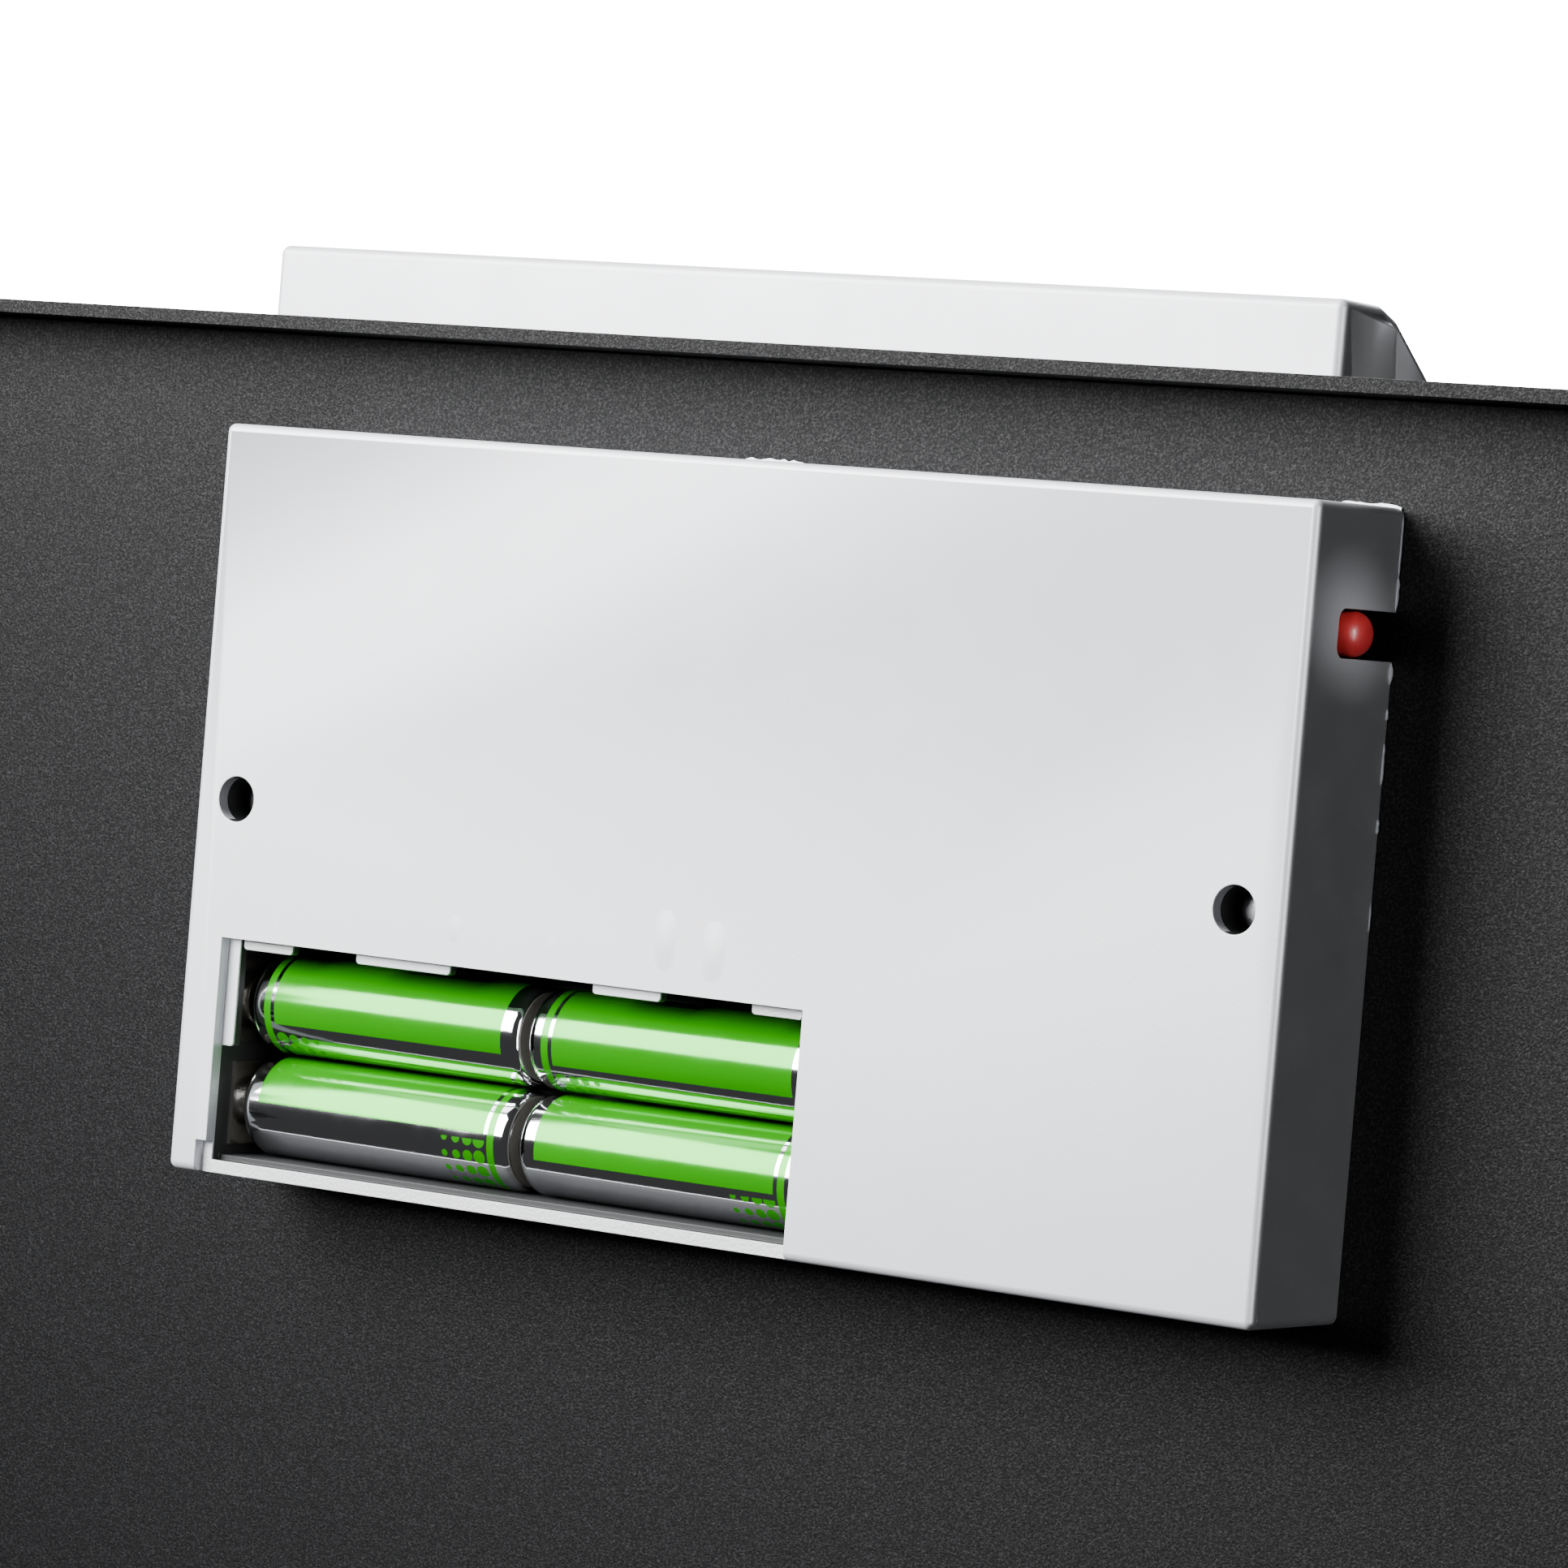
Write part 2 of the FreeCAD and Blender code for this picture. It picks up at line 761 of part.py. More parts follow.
ON_DOOR["housing_screws"] = group(*[
    join(
        rod("y", (x, "cover_face - cover_sheet - case_screw_reach", z), "screw_shank",
            "cover_sheet + case_screw_reach + housing_depth - case_screw_sink"),
        rod("y", (x, "case_face - case_screw_sink", z), "case_screw_bore - slide_play",
            "case_screw_head"))
    for x, z in case_screws])

cell_rows = (("upper", "upper_cells_left", "upper_cells_drop", 1),
             ("lower", "lower_cells_left", "lower_cells_drop", -1))


def cell(start, drop, facing):
    """One cell from its end nearer the hinge: facing 1 puts its nub at the far end."""
    barrel = "cell_length - cell_nub_length"
    nub_first = facing < 0
    barrel_start = f"({start}) + cell_nub_length" if nub_first else start
    nub_start = start if nub_first else f"({start}) + cell_length - cell_nub_length"
    return join(
        across_case(barrel_start, drop, "cell_axis_depth", "cell_radius", barrel),
        across_case(nub_start, drop, "cell_axis_depth", "cell_nub_radius", "cell_nub_length"))


for row, left, drop, facing in cell_rows:
    for number, place in enumerate(("inner", "outer")):
        ON_DOOR[f"battery_{row}_{place}"] = cell(f"{left} + {number} * cell_length", drop, facing)

contact_half = "contact_width / 2"


def contact(across, top, bottom):
    """A contact plate that stands against an end of the bay."""
    return in_case(across, (f"{top} - {contact_half}", f"{bottom} + {contact_half}"),
                   ("cell_axis_depth - contact_width / 2", "cell_axis_depth + contact_width / 2"))


near_end = ("bay_left", "bay_left + contact_sheet")
far_end = ("bay_right - contact_sheet", "bay_right")
ON_DOOR["contact_plates"] = group(
    contact(near_end, "upper_cells_drop", "upper_cells_drop"),
    contact(near_end, "lower_cells_drop", "lower_cells_drop"),
    contact(far_end, "upper_cells_drop", "lower_cells_drop"))
spring_left = "(bay_left + contact_sheet)"
lower_end = "lower_cells_left + 2 * cell_length"
ON_DOOR["contact_springs"] = group(
    taper("x", (at_case("upper_cells_left"), behind_case("cell_axis_depth"),
                below_case("upper_cells_drop")),
          "spring_tip_radius", "spring_radius", f"upper_cells_left - {spring_left}"),
    taper("x", (at_case("bay_right - contact_sheet"), behind_case("cell_axis_depth"),
                below_case("lower_cells_drop")),
          "spring_radius", "spring_tip_radius", f"bay_right - contact_sheet - ({lower_end})"))

ON_DOOR["circuit_board"] = in_case(
    ("board_left", "board_right"), ("board_top", "board_bottom"),
    ("board_depth", "board_depth + board_sheet"))
ON_DOOR["reset_switch"] = cut(
    in_case(("button_tail - switch_gap - switch_width", "button_tail - switch_gap"),
            ("button_drop - switch_width / 2", "button_drop + switch_width / 2"),
            ("button_depth - switch_width / 2", "board_depth")),
    across_case("button_tail - 2 * stem_length", "button_drop", "button_depth",
                "stem_radius + slide_play", "2 * stem_length"))
ON_DOOR["reset_button"] = join(
    across_case("button_tail", "button_drop", "button_depth", "button_radius",
                "button_tip - button_tail - nose_length"),
    taper("x", (at_case("button_tip"), behind_case("button_depth"), below_case("button_drop")),
          "button_radius - nose_inset", "button_radius", "nose_length"),
    across_case("button_tail - stem_length", "button_drop", "button_depth", "stem_radius",
                "stem_length"))
ON_DOOR["ribbon_cable"] = box(
    (at_case("ribbon_left + ribbon_width"), at_case("ribbon_left")),
    ("console_front + console_wall + keypad_board_gap + board_sheet",
     behind_case("housing_depth - ribbon_tuck")),
    (below_case("ribbon_drop + ribbon_thickness"), below_case("ribbon_drop")))

# ---- the bolt work between the outer plate and the cover ----

for place, level in zip(("lower", "upper"), bolt_levels):
    ON_DOOR[f"locking_bolt_{place}"] = rod(
        "x", ("bolt_tip", "bolt_y", level), "bolt_radius", "bolt_length")
ON_DOOR["bolt_guides"] = group(*[
    cut(
        box(("guide_setback + pan_sheet - door_x",
             "guide_setback + pan_sheet + guide_length - door_x"),
            ("work_front", "work_back - slide_play"),
            (f"{level} - guide_height / 2", f"{level} + guide_height / 2")),
        rod("x", ("0 - door_x", "bolt_y", level), "bolt_radius + shaft_play", "3 * guide_length"))
    for level in bolt_levels])
slot_x = "knob_x + crank_offset"
slot_half = "crank_pin_radius + crank_slot_play"
ON_DOOR["bolt_carriage"] = cut(
    join(
        box(("bolt_tail", "bolt_tail + bar_width"),
            ("bolt_y - bar_sheet / 2", "bolt_y + bar_sheet / 2"),
            ("0 - bar_height / 2", "bar_height / 2")),
        box(("bolt_tail + overrun", f"{slot_x} + {slot_half} + arm_margin"), ("arm_front", "arm_back"),
            ("arm_low", "arm_high"))),
    box((f"{slot_x} - ({slot_half})", f"{slot_x} + {slot_half}"),
        ("arm_front - overrun", "arm_back + overrun"),
        (f"knob_level + crank_offset - ({slot_half})", f"knob_level + crank_reach + {slot_half}")),
    *[box((f"0 - coil_place + {n} * bolt_throw - notch_width / 2",
           f"0 - coil_place + {n} * bolt_throw + notch_width / 2"),
          ("arm_front - overrun", "arm_back + overrun"),
          ("arm_low - overrun", "arm_low + plunger_travel + plunger_clear"))
      for n in range(2)])
coil_y = "arm_back"
ON_DOOR["lock_solenoid"] = cut(
    box(("0 - coil_place - coil_width / 2", "coil_width / 2 - coil_place"),
        ("work_front", "work_back - slide_play"), ("coil_low", "coil_low + coil_height")),
    rod("z", ("0 - coil_place", coil_y, "coil_low + coil_floor"), "plunger_radius + shaft_play",
        "coil_height"))
ON_DOOR["solenoid_plunger"] = rod(
    "z", ("0 - coil_place", coil_y, "coil_low + plunger_seat"), "plunger_radius",
    "arm_low - plunger_clear - coil_low - plunger_seat")

# ---- the console on the door's outer face ----

panel_half_x = "(1.5 * key_pitch_across + keypad_border)"
panel_half_z = "(2 * key_pitch_down + keypad_border)"
lamps = [(f"keypad_centre + {n} * lamp_pitch", "lamp_level") for n in (-1, 0, 1)]
console_body = plate(
    "x", "console_left", "console_width",
    [("door_face", "console_top"),
     ("door_face - console_flat", "console_top - console_flat_fall"),
     ("door_face - console_shoulder", "console_top - console_shoulder_fall"),
     ("console_front", "console_top - console_brow_fall"),
     ("console_front", "console_foot + console_brow_fall"),
     ("door_face - console_shoulder", "console_foot + console_shoulder_fall"),
     ("door_face - console_flat", "console_foot + console_flat_fall"),
     ("door_face", "console_foot")])


def any_edge(_a, _b):
    """True for every edge."""
    return True


console_outline = soften(console_body, "console_round", any_edge)
wide = ("console_left + console_wall", "console_right - console_wall")
console_rooms = [
    box(wide, ("console_front + console_wall", "door_face + overrun"),
        ("console_foot + console_brow_fall + room_margin", "door_z - room_margin")),
    box(wide, ("door_face - console_flat + overrun", "door_face - console_wall"),
        ("door_z - room_margin - overrun", "console_top - console_wall")),
]
console_posts = [
    rod("y", (x, "console_front + console_wall - overrun", z), "console_boss",
        "console_depth - console_wall + overrun")
    for x, z in console_bolts
]
console_bores = [
    rod("y", (x, "console_front + 2 * console_wall", z), "console_bolt_radius + shaft_play",
        "console_depth")
    for x, z in console_bolts
]
ON_DOOR["console_shell"] = cut(
    join(cut(console_outline, *console_rooms), *console_posts),
    *console_bores,
    box((f"keypad_centre - {panel_half_x} + 2", f"keypad_centre + {panel_half_x} - 2"),
        ("console_front - overrun", "console_front + console_wall + overrun"),
        (f"keypad_level - {panel_half_z} + panel_lip",
         f"keypad_level + {panel_half_z} - panel_lip")),
    rod("y", ("knob_x", "console_front - overrun", "knob_level"), "bushing_radius + shaft_play",
        "console_wall + 2 * overrun"),
    rod("y", ("knob_x", "console_front - overrun", "lock_level"), "lock_radius + shaft_play",
        "console_wall + 2 * overrun"),
    *[rod("y", (x, "console_front - overrun", z), "lamp_radius + shaft_play",
          "console_wall + 2 * overrun")
      for x, z in lamps],
    rod("y", ("knob_x", "console_front - overrun", "lock_level + flap_pivot_rise"),
        "flap_pin_radius + shaft_play", "console_wall + 2 * overrun"))
ON_DOOR["console_screws"] = group(*[
    join(
        rod("y", (x, "door_face - console_depth / 3", z), "console_bolt_radius",
            "console_depth / 3 + outer_plate"),
        rod("y", (x, "work_front", z), "console_screw_radius", "console_screw_head"))
    for x, z in console_bolts])

KEYS = ("1", "2", "3", "4", "5", "6", "7", "8", "9", "clear", "0", "enter")
key_places = [
    (name, f"keypad_centre + {i % 3 - 1} * key_pitch_across",
     f"keypad_level + {1.5 - i // 3} * key_pitch_down")
    for i, name in enumerate(KEYS)
]


def key_span(middle, size, play):
    """The two ends of a key, or of its hole with some play round it."""
    return (f"({middle}) - {size} / 2 - {play}", f"({middle}) + {size} / 2 + {play}")


ON_DOOR["keypad_panel"] = plate(
    "y", "console_front", "keypad_sheet",
    rectangle((f"keypad_centre - {panel_half_x}", f"keypad_centre + {panel_half_x}"),
              (f"keypad_level - {panel_half_z}", f"keypad_level + {panel_half_z}")),
    [rectangle(key_span(x, "key_width", "slide_play"), key_span(z, "key_height", "slide_play"))
     for _, x, z in key_places])
key_front = "panel_front - key_stand"


def upright(a, b):
    """True for a key's edge that runs along Y."""
    return abs(a.y - b.y) > 1


for name, x, z in key_places:
    ON_DOOR["key_" + name] = soften(
        box(key_span(x, "key_width", "0"), (key_front, f"{key_front} + key_depth"),
            key_span(z, "key_height", "0")),
        "key_round", upright)
ON_DOOR["keypad_board"] = box(
    (f"keypad_centre - {panel_half_x}", f"keypad_centre + {panel_half_x}"),
    ("console_front + console_wall + keypad_board_gap",
     "console_front + console_wall + keypad_board_gap + board_sheet"),
    (f"keypad_level - {panel_half_z}", f"keypad_level + {panel_half_z}"))
ON_DOOR["status_lamps"] = group(*[
    rod("y", (x, "console_front - lamp_stand", z), "lamp_radius", "console_wall + lamp_tail")
    for x, z in lamps])

# ---- knob, spindle and crank ----

knob_base = "console_front - knob_standoff"
ON_DOOR["knob_bushing"] = cut(
    join(
        rod("y", ("knob_x", "console_front - knob_standoff + slide_play", "knob_level"),
            "bushing_radius + bushing_flange", "knob_standoff - slide_play"),
        rod("y", ("knob_x", "console_front - seat_overlap", "knob_level"), "bushing_radius",
            "console_wall + bushing_tail")),
    rod("y", ("knob_x", "console_front - knob_length", "knob_level"),
        "spindle_radius + shaft_play", "2 * console_depth"))
ON_DOOR["knob"] = cut(
    join(
        rod("y", ("knob_x", f"{knob_base} - knob_skirt", "knob_level"), "knob_radius",
            "knob_skirt"),
        box(("knob_x - knob_radius + grip_inset", "knob_x + knob_radius - grip_inset"),
            (f"{knob_base} - knob_length", f"{knob_base} - knob_skirt + overrun"),
            ("knob_level - grip_width / 2", "knob_level + grip_width / 2"))),
    rod("y", ("knob_x", f"{knob_base} - spindle_socket", "knob_level"),
        "spindle_radius + shaft_play - spindle_neck", "spindle_socket + overrun"))
ON_DOOR["knob_spindle"] = join(
    rod("y", ("knob_x", f"{knob_base} - spindle_socket", "knob_level"),
        "spindle_radius - spindle_neck", "spindle_socket"),
    rod("y", ("knob_x", knob_base, "knob_level"), "spindle_radius",
        f"crank_front + crank_sheet - ({knob_base})"),
    rod("y", ("knob_x", "crank_front", "knob_level"), "crank_radius", "crank_sheet"),
    rod("y", ("knob_x + crank_offset", "crank_front", "knob_level + crank_offset"),
        "crank_pin_radius", "arm_back - crank_front + seat_overlap"))

# ---- the emergency lock under its swinging flap ----

lock_front = "console_front - lock_rim"
ON_DOOR["lock_cylinder"] = cut(
    join(
        rod("y", ("knob_x", lock_front, "lock_level"), "lock_rim_radius", "lock_rim"),
        rod("y", ("knob_x", "console_front - seat_overlap", "lock_level"), "lock_radius",
            "lock_length")),
    rod("y", ("knob_x", f"{lock_front} - overrun", "lock_level"), "plug_radius + shaft_play",
        "2 * lock_length"))
ON_DOOR["lock_plug"] = cut(
    join(
        rod("y", ("knob_x", lock_front, "lock_level"), "plug_radius",
            "lock_rim + lock_length + plug_lug_sheet"),
        box(("knob_x - plug_lug_width / 2", "knob_x + plug_lug_width / 2"),
            ("console_front + lock_length", "console_front + lock_length + plug_lug_sheet"),
            ("lock_level - plug_lug_reach", "lock_level"))),
    box(("knob_x - keyway_width / 2", "knob_x + keyway_width / 2"),
        (f"{lock_front} - overrun", f"{lock_front} + keyway_depth"),
        ("lock_level - keyway_height / 2", "lock_level + keyway_height / 2")))
flap_back = f"{lock_front} - flap_gap"
ON_DOOR["lock_flap"] = cut(
    join(
        rod("y", ("knob_x", f"{flap_back} - flap_sheet", "lock_level + flap_pivot_rise"),
            "flap_width / 4", "flap_sheet"),
        box(("knob_x - flap_width / 4", "knob_x + flap_width / 4"),
            (f"{flap_back} - flap_sheet", flap_back),
            ("lock_level", "lock_level + flap_pivot_rise")),
        rod("y", ("knob_x", f"{flap_back} - flap_sheet", "lock_level"), "flap_width / 2",
            "flap_sheet")),
    rod("y", ("knob_x", f"{flap_back} - flap_sheet - overrun", "lock_level + flap_pivot_rise"),
        "flap_pin_radius + shaft_play", "flap_sheet + 2 * overrun"))
ON_DOOR["flap_pin"] = join(
    rod("y", ("knob_x", f"{flap_back} - flap_sheet - slide_play", "lock_level + flap_pivot_rise"),
        "flap_pin_radius", f"console_front + console_wall + flap_pin_tail - ({flap_back} - flap_sheet)"),
    rod("y", ("knob_x", f"{flap_back} - flap_sheet - slide_play - flap_pin_head",
              "lock_level + flap_pivot_rise"), "2 * flap_pin_radius", "flap_pin_head"),
    rod("y", ("knob_x", f"{flap_back} + slide_play", "lock_level + flap_pivot_rise"),
        "2 * flap_pin_radius", f"console_front - ({flap_back}) - slide_play"))

# ---- names, the open door, checks and files ----


def hinge_turn():
    """The turn about the hinge axis that stands the door open."""
    pivot = Vector(value("pivot_x"), value("pivot_y"), 0)
    return Placement(Vector(), Rotation(Vector(0, 0, 1), value("rest_angle")), pivot)


def finish():
    """Label every piece, open the door, check the document and write the files."""
    doc.recompute()
    for name, item in {**FIXED, **ON_DOOR}.items():
        item.Label = name
    turn = hinge_turn()
    for item in ON_DOOR.values():
        if item.ExpressionEngine and item.TypeId in ("Part::Box", "Part::Cylinder"):
            for path, _ in list(item.ExpressionEngine):
                if path.startswith("Placement") or path.startswith(".Placement"):
                    item.setExpression(path.lstrip("."), None)
        item.Placement = turn.multiply(item.Placement)
    doc.recompute()
    for item in doc.Objects:
        if "Invalid" in item.State or "Error" in item.State:
            raise RuntimeError(f"{item.Label} did not compute: {item.State}")
    for name, item in {**FIXED, **ON_DOOR}.items():
        if item.Shape.isNull() or not item.Shape.isValid():
            raise RuntimeError(f"{name} has no valid shape")
    os.makedirs("parts", exist_ok=True)
    for name, item in {**FIXED, **ON_DOOR}.items():
        item.Shape.exportStep(f"parts/{name}.step")


finish()
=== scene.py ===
"""Looks for a recessed wall safe whose door stands open: bodies, finishes, light and camera."""
import json
import math
import random

import bmesh
import bpy
from mathutils import Matrix, Vector


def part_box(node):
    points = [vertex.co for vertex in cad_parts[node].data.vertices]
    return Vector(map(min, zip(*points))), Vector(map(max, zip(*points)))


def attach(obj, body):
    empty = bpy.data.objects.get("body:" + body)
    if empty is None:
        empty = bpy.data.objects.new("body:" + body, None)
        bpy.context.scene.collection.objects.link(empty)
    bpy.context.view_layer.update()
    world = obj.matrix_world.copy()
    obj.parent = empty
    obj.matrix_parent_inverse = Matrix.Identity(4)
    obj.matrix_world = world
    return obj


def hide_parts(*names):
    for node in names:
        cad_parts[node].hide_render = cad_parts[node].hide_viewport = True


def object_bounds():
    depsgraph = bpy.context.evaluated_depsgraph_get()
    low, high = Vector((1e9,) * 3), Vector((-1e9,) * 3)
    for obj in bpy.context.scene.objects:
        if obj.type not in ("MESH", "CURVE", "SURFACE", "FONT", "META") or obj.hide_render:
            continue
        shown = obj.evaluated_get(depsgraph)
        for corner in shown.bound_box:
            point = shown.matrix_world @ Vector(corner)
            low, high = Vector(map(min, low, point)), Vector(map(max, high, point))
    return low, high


bl_info = {
    "name": "Wall Safe",
    "version": (1, 0, 0),
    "blender": (4, 5, 0),
    "location": "View3D > Sidebar > Wall Safe",
    "description": "Finishes the pieces of a recessed wall safe and lights it",
    "category": "Object",
}

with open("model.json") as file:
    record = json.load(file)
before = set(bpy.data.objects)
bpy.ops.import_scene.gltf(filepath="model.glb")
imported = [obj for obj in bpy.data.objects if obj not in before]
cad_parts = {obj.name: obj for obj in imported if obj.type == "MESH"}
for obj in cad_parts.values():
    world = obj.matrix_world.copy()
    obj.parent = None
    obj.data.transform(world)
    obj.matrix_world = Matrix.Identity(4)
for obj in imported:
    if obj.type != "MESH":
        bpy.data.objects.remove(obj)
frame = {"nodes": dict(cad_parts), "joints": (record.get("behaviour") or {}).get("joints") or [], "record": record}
CAD_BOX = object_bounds()

MM = 0.001

# ---- places read from the frame ----


def joint(name):
    """The named joint of the frame."""
    return next(j for j in frame["joints"] if j["name"] == name)


def body_of_node(node):
    """The body that holds a node."""
    bodies = frame["record"]["behaviour"]["bodies"]
    return next(body for body, nodes in bodies.items() if node in nodes)


HINGE = Vector(joint("door_swing")["pos_m"])
INTO = Vector(joint("key_5_press")["axis"]) * -1
ALONG = Vector(joint("bolt_throw")["axis"])
UP = Vector((0, 0, 1))


def node_box(node):
    """Lowest and highest corner of a node, as vectors."""
    low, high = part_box(node)
    return Vector(low), Vector(high)


def centre(node):
    """Middle of a node's box."""
    low, high = node_box(node)
    return (low + high) / 2


def span(node, axis):
    """How far the node's corners reach along an axis: its lowest and highest place."""
    places = [axis.dot(v.co) for v in frame["nodes"][node].data.vertices]
    return min(places), max(places)


def extent(node, axis):
    """How long a node is along an axis."""
    low, high = span(node, axis)
    return high - low


def door_point(along, into, height):
    """A point from its distances along the door, through it and up."""
    return ALONG * along + INTO * into + UP * height


def moved_to(point, axis, level):
    """The point moved along an axis to a place on it."""
    return point + axis * (level - axis.dot(point))


def middle_of(points):
    """The middle of the box round some points."""
    low, high = (Vector([pick(p[i] for p in points) for i in range(3)]) for pick in (min, max))
    return (low + high) / 2


def turned(x_axis, y_axis, z_axis, origin):
    """The matrix that carries a piece built at the origin to its place."""
    turn = Matrix((x_axis, y_axis, z_axis)).transposed().to_4x4()
    return Matrix.Translation(origin) @ turn


def stood(axis, side, origin):
    """The matrix that stands a piece built along +Z on an axis, its X towards side."""
    return turned(side, axis.cross(side), axis, origin)


# ---- settings that a user would change ----


def colour_setting(name, description, default):
    """A colour."""
    return bpy.props.FloatVectorProperty(
        name=name, description=description, subtype="COLOR", size=3, default=default,
        min=0, max=1)


def length_setting(name, description, default, least=0.0):
    """A length in metres."""
    return bpy.props.FloatProperty(
        name=name, description=description, unit="LENGTH", default=default, min=least)


def power_setting(name, description, default):
    """A light's power in watts."""
    return bpy.props.FloatProperty(
        name=name, description=description, subtype="POWER", default=default, min=0)


class SafeFinish(bpy.types.PropertyGroup):
    """Colours and textures of the safe's surfaces."""
    coat_colour: colour_setting("Coat", "Powder coat on the steel", (0.0030, 0.0030, 0.0034))
    coat_grain: length_setting(
        "Coat grain", "Size of the powder coat's dimples", 0.30 * MM, 0.1 * MM)
    silver_colour: colour_setting(
        "Silver", "Satin silver paint on the plastic covers", (0.68, 0.695, 0.73))
    silver_grain: length_setting(
        "Silver grain", "Size of the silver paint's texture", 0.35 * MM, 0.05 * MM)
    button_colour: colour_setting("Button", "Reset button", (0.80, 0.035, 0.04))
    label_colour: colour_setting(
        "Cell band", "Band printed on each cell's sleeve", (0.016, 0.30, 0.0))
    mat_colour: colour_setting("Mat", "Felt on the floor of the safe", (0.030, 0.031, 0.036))


class SafeSizes(bpy.types.PropertyGroup):
    """Small sizes that the looks add to the frame."""
    sheet_round: length_setting("Sheet edge", "Rounding of cut sheet steel", 0.5 * MM)
    plastic_round: length_setting("Plastic edge", "Rounding of moulded edges", 1.4 * MM)
    key_round: length_setting("Key edge", "Rounding of a key's top", 0.7 * MM)
    legend_height: length_setting(
        "Legend", "Height of the digits on the keys", 5.6 * MM, 1 * MM)
    spring_wire: length_setting(
        "Spring wire", "Thickness of the contact springs' wire", 0.7 * MM, 0.1 * MM)
    knob_ribs: bpy.props.IntProperty(
        name="Knob ribs", description="Ribs round the knob", default=36, min=3)


class SafeLight(bpy.types.PropertyGroup):
    """The studio round the safe."""
    key_power: power_setting("Key light", "Power of the large light", 50.0)
    rim_power: power_setting("Top light", "Power of the light above", 9.0)
    edge_power: power_setting("Edge light", "Power of the light that only edges mirror", 13.0)
    button_power: power_setting(
        "Button light", "Power of the narrow beam on the reset button", 11.0)
    front_power: power_setting(
        "Front light", "Power of the light on the door's outer side", 18.0)
    backdrop: bpy.props.FloatProperty(
        name="Backdrop", description="Brightness of what shows behind the safe", default=30.0,
        min=0)
    floor_colour: colour_setting("Floor", "Pale studio floor", (0.30, 0.30, 0.30))


SETTINGS = {"safe_finish": SafeFinish, "safe_sizes": SafeSizes, "safe_light": SafeLight}


# ---- materials ----


def feed(tree, socket, value):
    """Links a socket to another's output, or sets its value; a colour gets its alpha."""
    if isinstance(value, bpy.types.NodeSocket):
        tree.links.new(value, socket)
    elif socket.type == "RGBA" and len(value) == 3:
        socket.default_value = (*value, 1)
    else:
        socket.default_value = value


def add_node(tree, kind, links=None, **values):
    """A node; links go to its inputs by name or number, values to its properties."""
    item = tree.nodes.new(kind)
    for key, value in values.items():
        setattr(item, key, value)
    for key, value in (links or {}).items():
        feed(tree, item.inputs[key], value)
    return item


class Finish:
    """A material under construction: its tree, its shader and the surface's own coordinates."""

    def __init__(self, name, coordinates="Object"):
        self.material = bpy.data.materials.new(name)
        self.material.use_nodes = True
        self.tree = self.material.node_tree
        self.shader = self.tree.nodes["Principled BSDF"]
        self.source = self.add("ShaderNodeTexCoord").outputs[coordinates]

    def add(self, kind, links=None, **values):
        """A node of the material's tree."""
        return add_node(self.tree, kind, links, **values)

    def math(self, operation, *values):
        """The output of a Math node."""
        item = self.add("ShaderNodeMath", dict(enumerate(values)), operation=operation)
        return item.outputs[0]

    def hypot(self, first, second):
        """The distance that two distances at right angles make."""
        squares = [self.math("MULTIPLY", side, side) for side in (first, second)]
        return self.math("SQRT", self.math("ADD", *squares))

    def noise(self, size, detail=2.0, rough=0.5, source=None):
        """Noise whose features are about this long, in metres."""
        item = self.add("ShaderNodeTexNoise", {
            "Vector": source or self.source, "Scale": 1 / size, "Detail": detail,
            "Roughness": rough})
        return item.outputs["Fac"]

    def spread(self, value, low, high, start=0.0, end=1.0):
        """A value carried from start..end to low..high."""
        item = self.add("ShaderNodeMapRange", {
            "Value": value, "From Min": start, "From Max": end, "To Min": low, "To Max": high})
        return item.outputs[0]

    def along(self, axis):
        """Distance along an axis, in metres."""
        item = self.add("ShaderNodeVectorMath", {0: self.source, 1: axis},
                        operation="DOT_PRODUCT")
        return item.outputs["Value"]

    def within(self, value, low, high):
        """1 between two values and 0 outside them."""
        above = self.math("GREATER_THAN", value, low)
        return self.math("MULTIPLY", above, self.math("LESS_THAN", value, high))

    def mix(self, amount, first, second):
        """One colour towards another."""
        item = self.add("ShaderNodeMix", {0: amount, 6: first, 7: second}, data_type="RGBA")
        return item.outputs[2]

    def set(self, **values):
        """Sockets of the shader, with underscores for spaces."""
        for key, value in values.items():
            feed(self.tree, self.shader.inputs[key.replace("_", " ")], value)

    def bump(self, height, depth, strength=1.0):
        """Relief of the given depth in metres."""
        item = self.add("ShaderNodeBump", {
            "Height": height, "Distance": depth, "Strength": strength})
        self.tree.links.new(item.outputs[0], self.shader.inputs["Normal"])
        return self


def shade(colour, factor):
    """A colour made lighter or darker."""
    return tuple(min(1.0, channel * factor) for channel in colour)


def powder_coat(name, colour, grain):
    """Charcoal powder coat: a fine lighter speckle that is painted highlight, glints of its grains put into the
    colour, a soft sheen and rubbed patches.
    """
    coat = Finish(name)
    dimples = coat.noise(grain, 2.0, 0.5)
    glint_speckle = coat.spread(coat.noise(grain * 1.3, 3.0, 0.7), 0.0, 1.0, 0.46, 0.66)
    patches = coat.noise(60 * MM, 3.0)
    ground = coat.mix(patches, shade(colour, 0.85), shade(colour, 1.2))
    coat.set(
        # painted highlight: the lighter speckle puts glints of the coat's grains into its colour
        Base_Color=coat.mix(glint_speckle, ground, shade(colour, 2.6)),
        Roughness=coat.spread(dimples, 0.44, 0.56, 0.3, 0.7),
        Specular_IOR_Level=coat.spread(glint_speckle, 0.09, 0.22))
    return coat.bump(dimples, 0.10 * MM, 0.8).material


